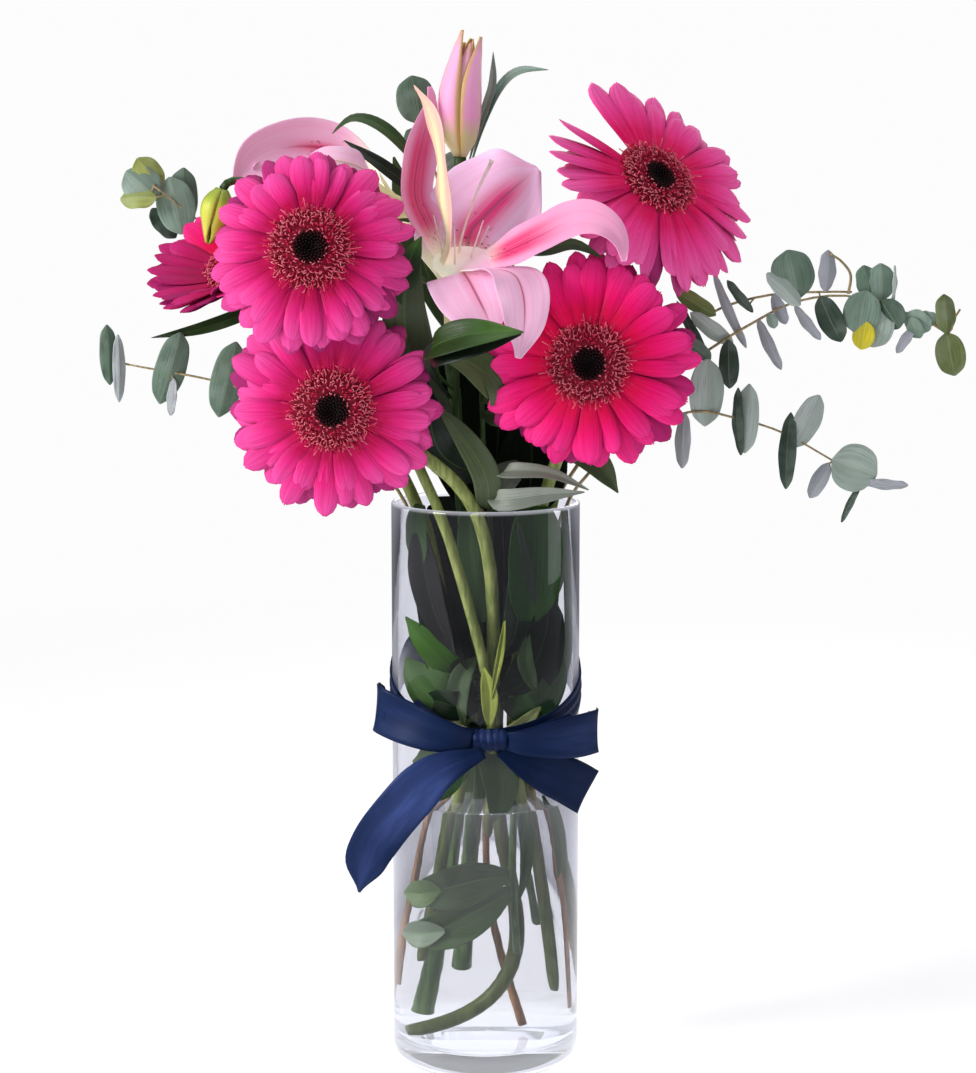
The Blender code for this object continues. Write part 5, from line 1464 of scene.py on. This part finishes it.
# %% Leaves packed in the vase
# path inside the vase, facing, width, tone, and its outline where it isn't LANCE
VASE_LEAVES = [
    ([(25, -30, 306), (25, -33, 284), (24, -35, 264), (21, -35, 246)], (0.45, -1, 0), 31, 0.40, BLUNT_LEAF),
    ([(40, -18, 304), (40, -21, 282), (37, -26, 264), (31, -31, 249)], (0.9, -1, 0), 6, 0.60),
    ([(43, -6, 298), (44, -8, 262), (43, -9, 228), (38, -10, 202)], (1, -1, 0), 9, 0.56, BLUNT_LEAF),
    ([(-35, -22, 300), (-32, -27, 276), (-26, -32, 250), (-15, -37, 228)], (-0.4, -1, 0), 17, 0.84),
    ([(-34, -24, 306), (-35, -24, 290), (-33, -26, 274)], (-0.5, -1, 0), 12, 0.5, BLUNT_LEAF),
    ([(-9, -22, 304), (-8, -27, 280), (-5, -30, 260), (-2, -30, 244)], (-0.1, -1, 0), 13, 0.52, BLUNT_LEAF),
    ([(11, -26, 262), (12, -29, 250), (10, -30, 240)], (0.1, -1, 0), 6, 0.78),
    ([(-2, -14, 212), (-16, -30, 220), (-30, -32, 234), (-41, -20, 246)], (-0.4, -1, 0.2), 15, 0.74),
    ([(-2, -16, 206), (-18, -34, 206), (-32, -30, 212), (-41, -18, 224)], (-0.4, -1, 0.2), 24, 0.68),
    ([(-2, -18, 204), (-14, -38, 202), (-24, -36, 204), (-34, -28, 204)], (-0.3, -1, 0.1), 16, 0.2),
    ([(-4, -28, 226), (-12, -36, 218), (-14, -38, 204), (-10, -40, 192)], (-0.2, -1, 0), 12, 0.6),
    ([(6, -12, 200), (20, -32, 214), (30, -31, 236), (33, -26, 262)], (0.5, -1, 0), 28, 0.05),
    ([(8, -14, 198), (24, -34, 200), (34, -28, 210), (40, -18, 226)], (0.5, -1, 0.1), 18, 0.34),
    ([(22, -36, 240), (20, -38, 226), (26, -35, 208)], (0.4, -1, 0), 9, 0.62),
    ([(-1, -36, 222), (2, -39, 208), (2, -41, 190)], (0, -1, 0), 9, 0.92),
    ([(10, -36, 248), (8, -38, 232), (3, -40, 206)], (0.1, -1, 0), 4, 0.92),
    ([(-26, -33, 198), (-16, -40, 190), (-2, -43, 187)], (-0.3, -1, 0.3), 8, 0.97),
    ([(6, -43, 188), (18, -39, 192), (29, -33, 201)], (0.3, -1, 0.3), 7, 0.95),
    # these broad leaves, nearly black, are painted shade: a dark mass at the back of the vase
    ([(0, -2, 196), (-12, 4, 228), (-20, 8, 262), (-22, 12, 306)], (-0.2, -1, 0), 34, 0.02, BLUNT_LEAF),
    ([(2, -4, 196), (8, -4, 230), (10, -4, 262), (8, -2, 306)], (0.1, -1, 0), 36, 0.0, BLUNT_LEAF),
    ([(2, 0, 196), (20, 4, 226), (27, 6, 262), (28, 8, 304)], (0.3, -1, 0), 30, 0.02, BLUNT_LEAF),
    ([(-4, -4, 196), (-18, -8, 226), (-25, -10, 258), (-26, -10, 304)], (-0.3, -1, 0), 26, 0.03,
     BLUNT_LEAF),
    ([(-4, -20, 200), (-16, -30, 214), (-24, -30, 240), (-24, -28, 270)], (-0.3, -1, 0), 22, 0.04),
    ([(0, 4, 196), (-16, 20, 222), (-24, 30, 256), (-20, 34, 300)], (-0.4, 1, 0), 26, 0.3),
    ([(0, 6, 196), (14, 24, 226), (20, 32, 262), (16, 34, 302)], (0.4, 1, 0), 26, 0.4),
    ([(-2, -10, 188), (-20, -34, 180), (-32, -30, 172), (-38, -18, 168)], (-0.4, -1, 0.4), 15, 0.5),
    ([(4, -12, 186), (16, -34, 178), (28, -32, 172), (36, -20, 170)], (0.4, -1, 0.4), 15, 0.62),
    ([(2, -12, 184), (6, -34, 172), (8, -40, 156), (4, -41, 138)], (0.1, -1, 0.1), 20, 0.5),
    ([(-4, -14, 184), (-12, -32, 174), (-22, -34, 158), (-34, -28, 148)], (-0.2, -1, 0.2), 16, 0.3),
    ([(14, -20, 150), (20, -30, 128), (20, -32, 108), (16, -30, 90)], (0.2, -1, 0), 7, 0.34),
    ([(30, -20, 150), (36, -22, 132), (38, -20, 114), (36, -18, 100)], (0.4, -1, 0), 8, 0.62),
    # broad nearly black leaves above the rim: painted shade behind the stems
    ([(4, -2, 296), (6, -4, 330), (8, -6, 366), (8, -8, 404)], (0, -1, 0), 42, 0.04),
    ([(-8, -2, 296), (-12, -2, 330), (-14, -3, 364), (-14, -4, 398)], (0, -1, 0), 38, 0.08),
    ([(20, -6, 294), (24, -9, 318), (24, -10, 338), (22, -10, 356)], (0, -1, 0), 38, 0.05),
]
make_leaves("leaves_in_vase", VASE_LEAVES, ["foliage_front", "foliage_right"], LEAF_IN_VASE)

# %% [markdown]
# ## Pieces made
# Count the pieces made, and list any CAD node that is still shown.

# %% Pieces made
standing = [name for name, node in NODES.items() if not node.hide_render]
print("pieces:", len(MADE), "CAD nodes still shown:", standing)
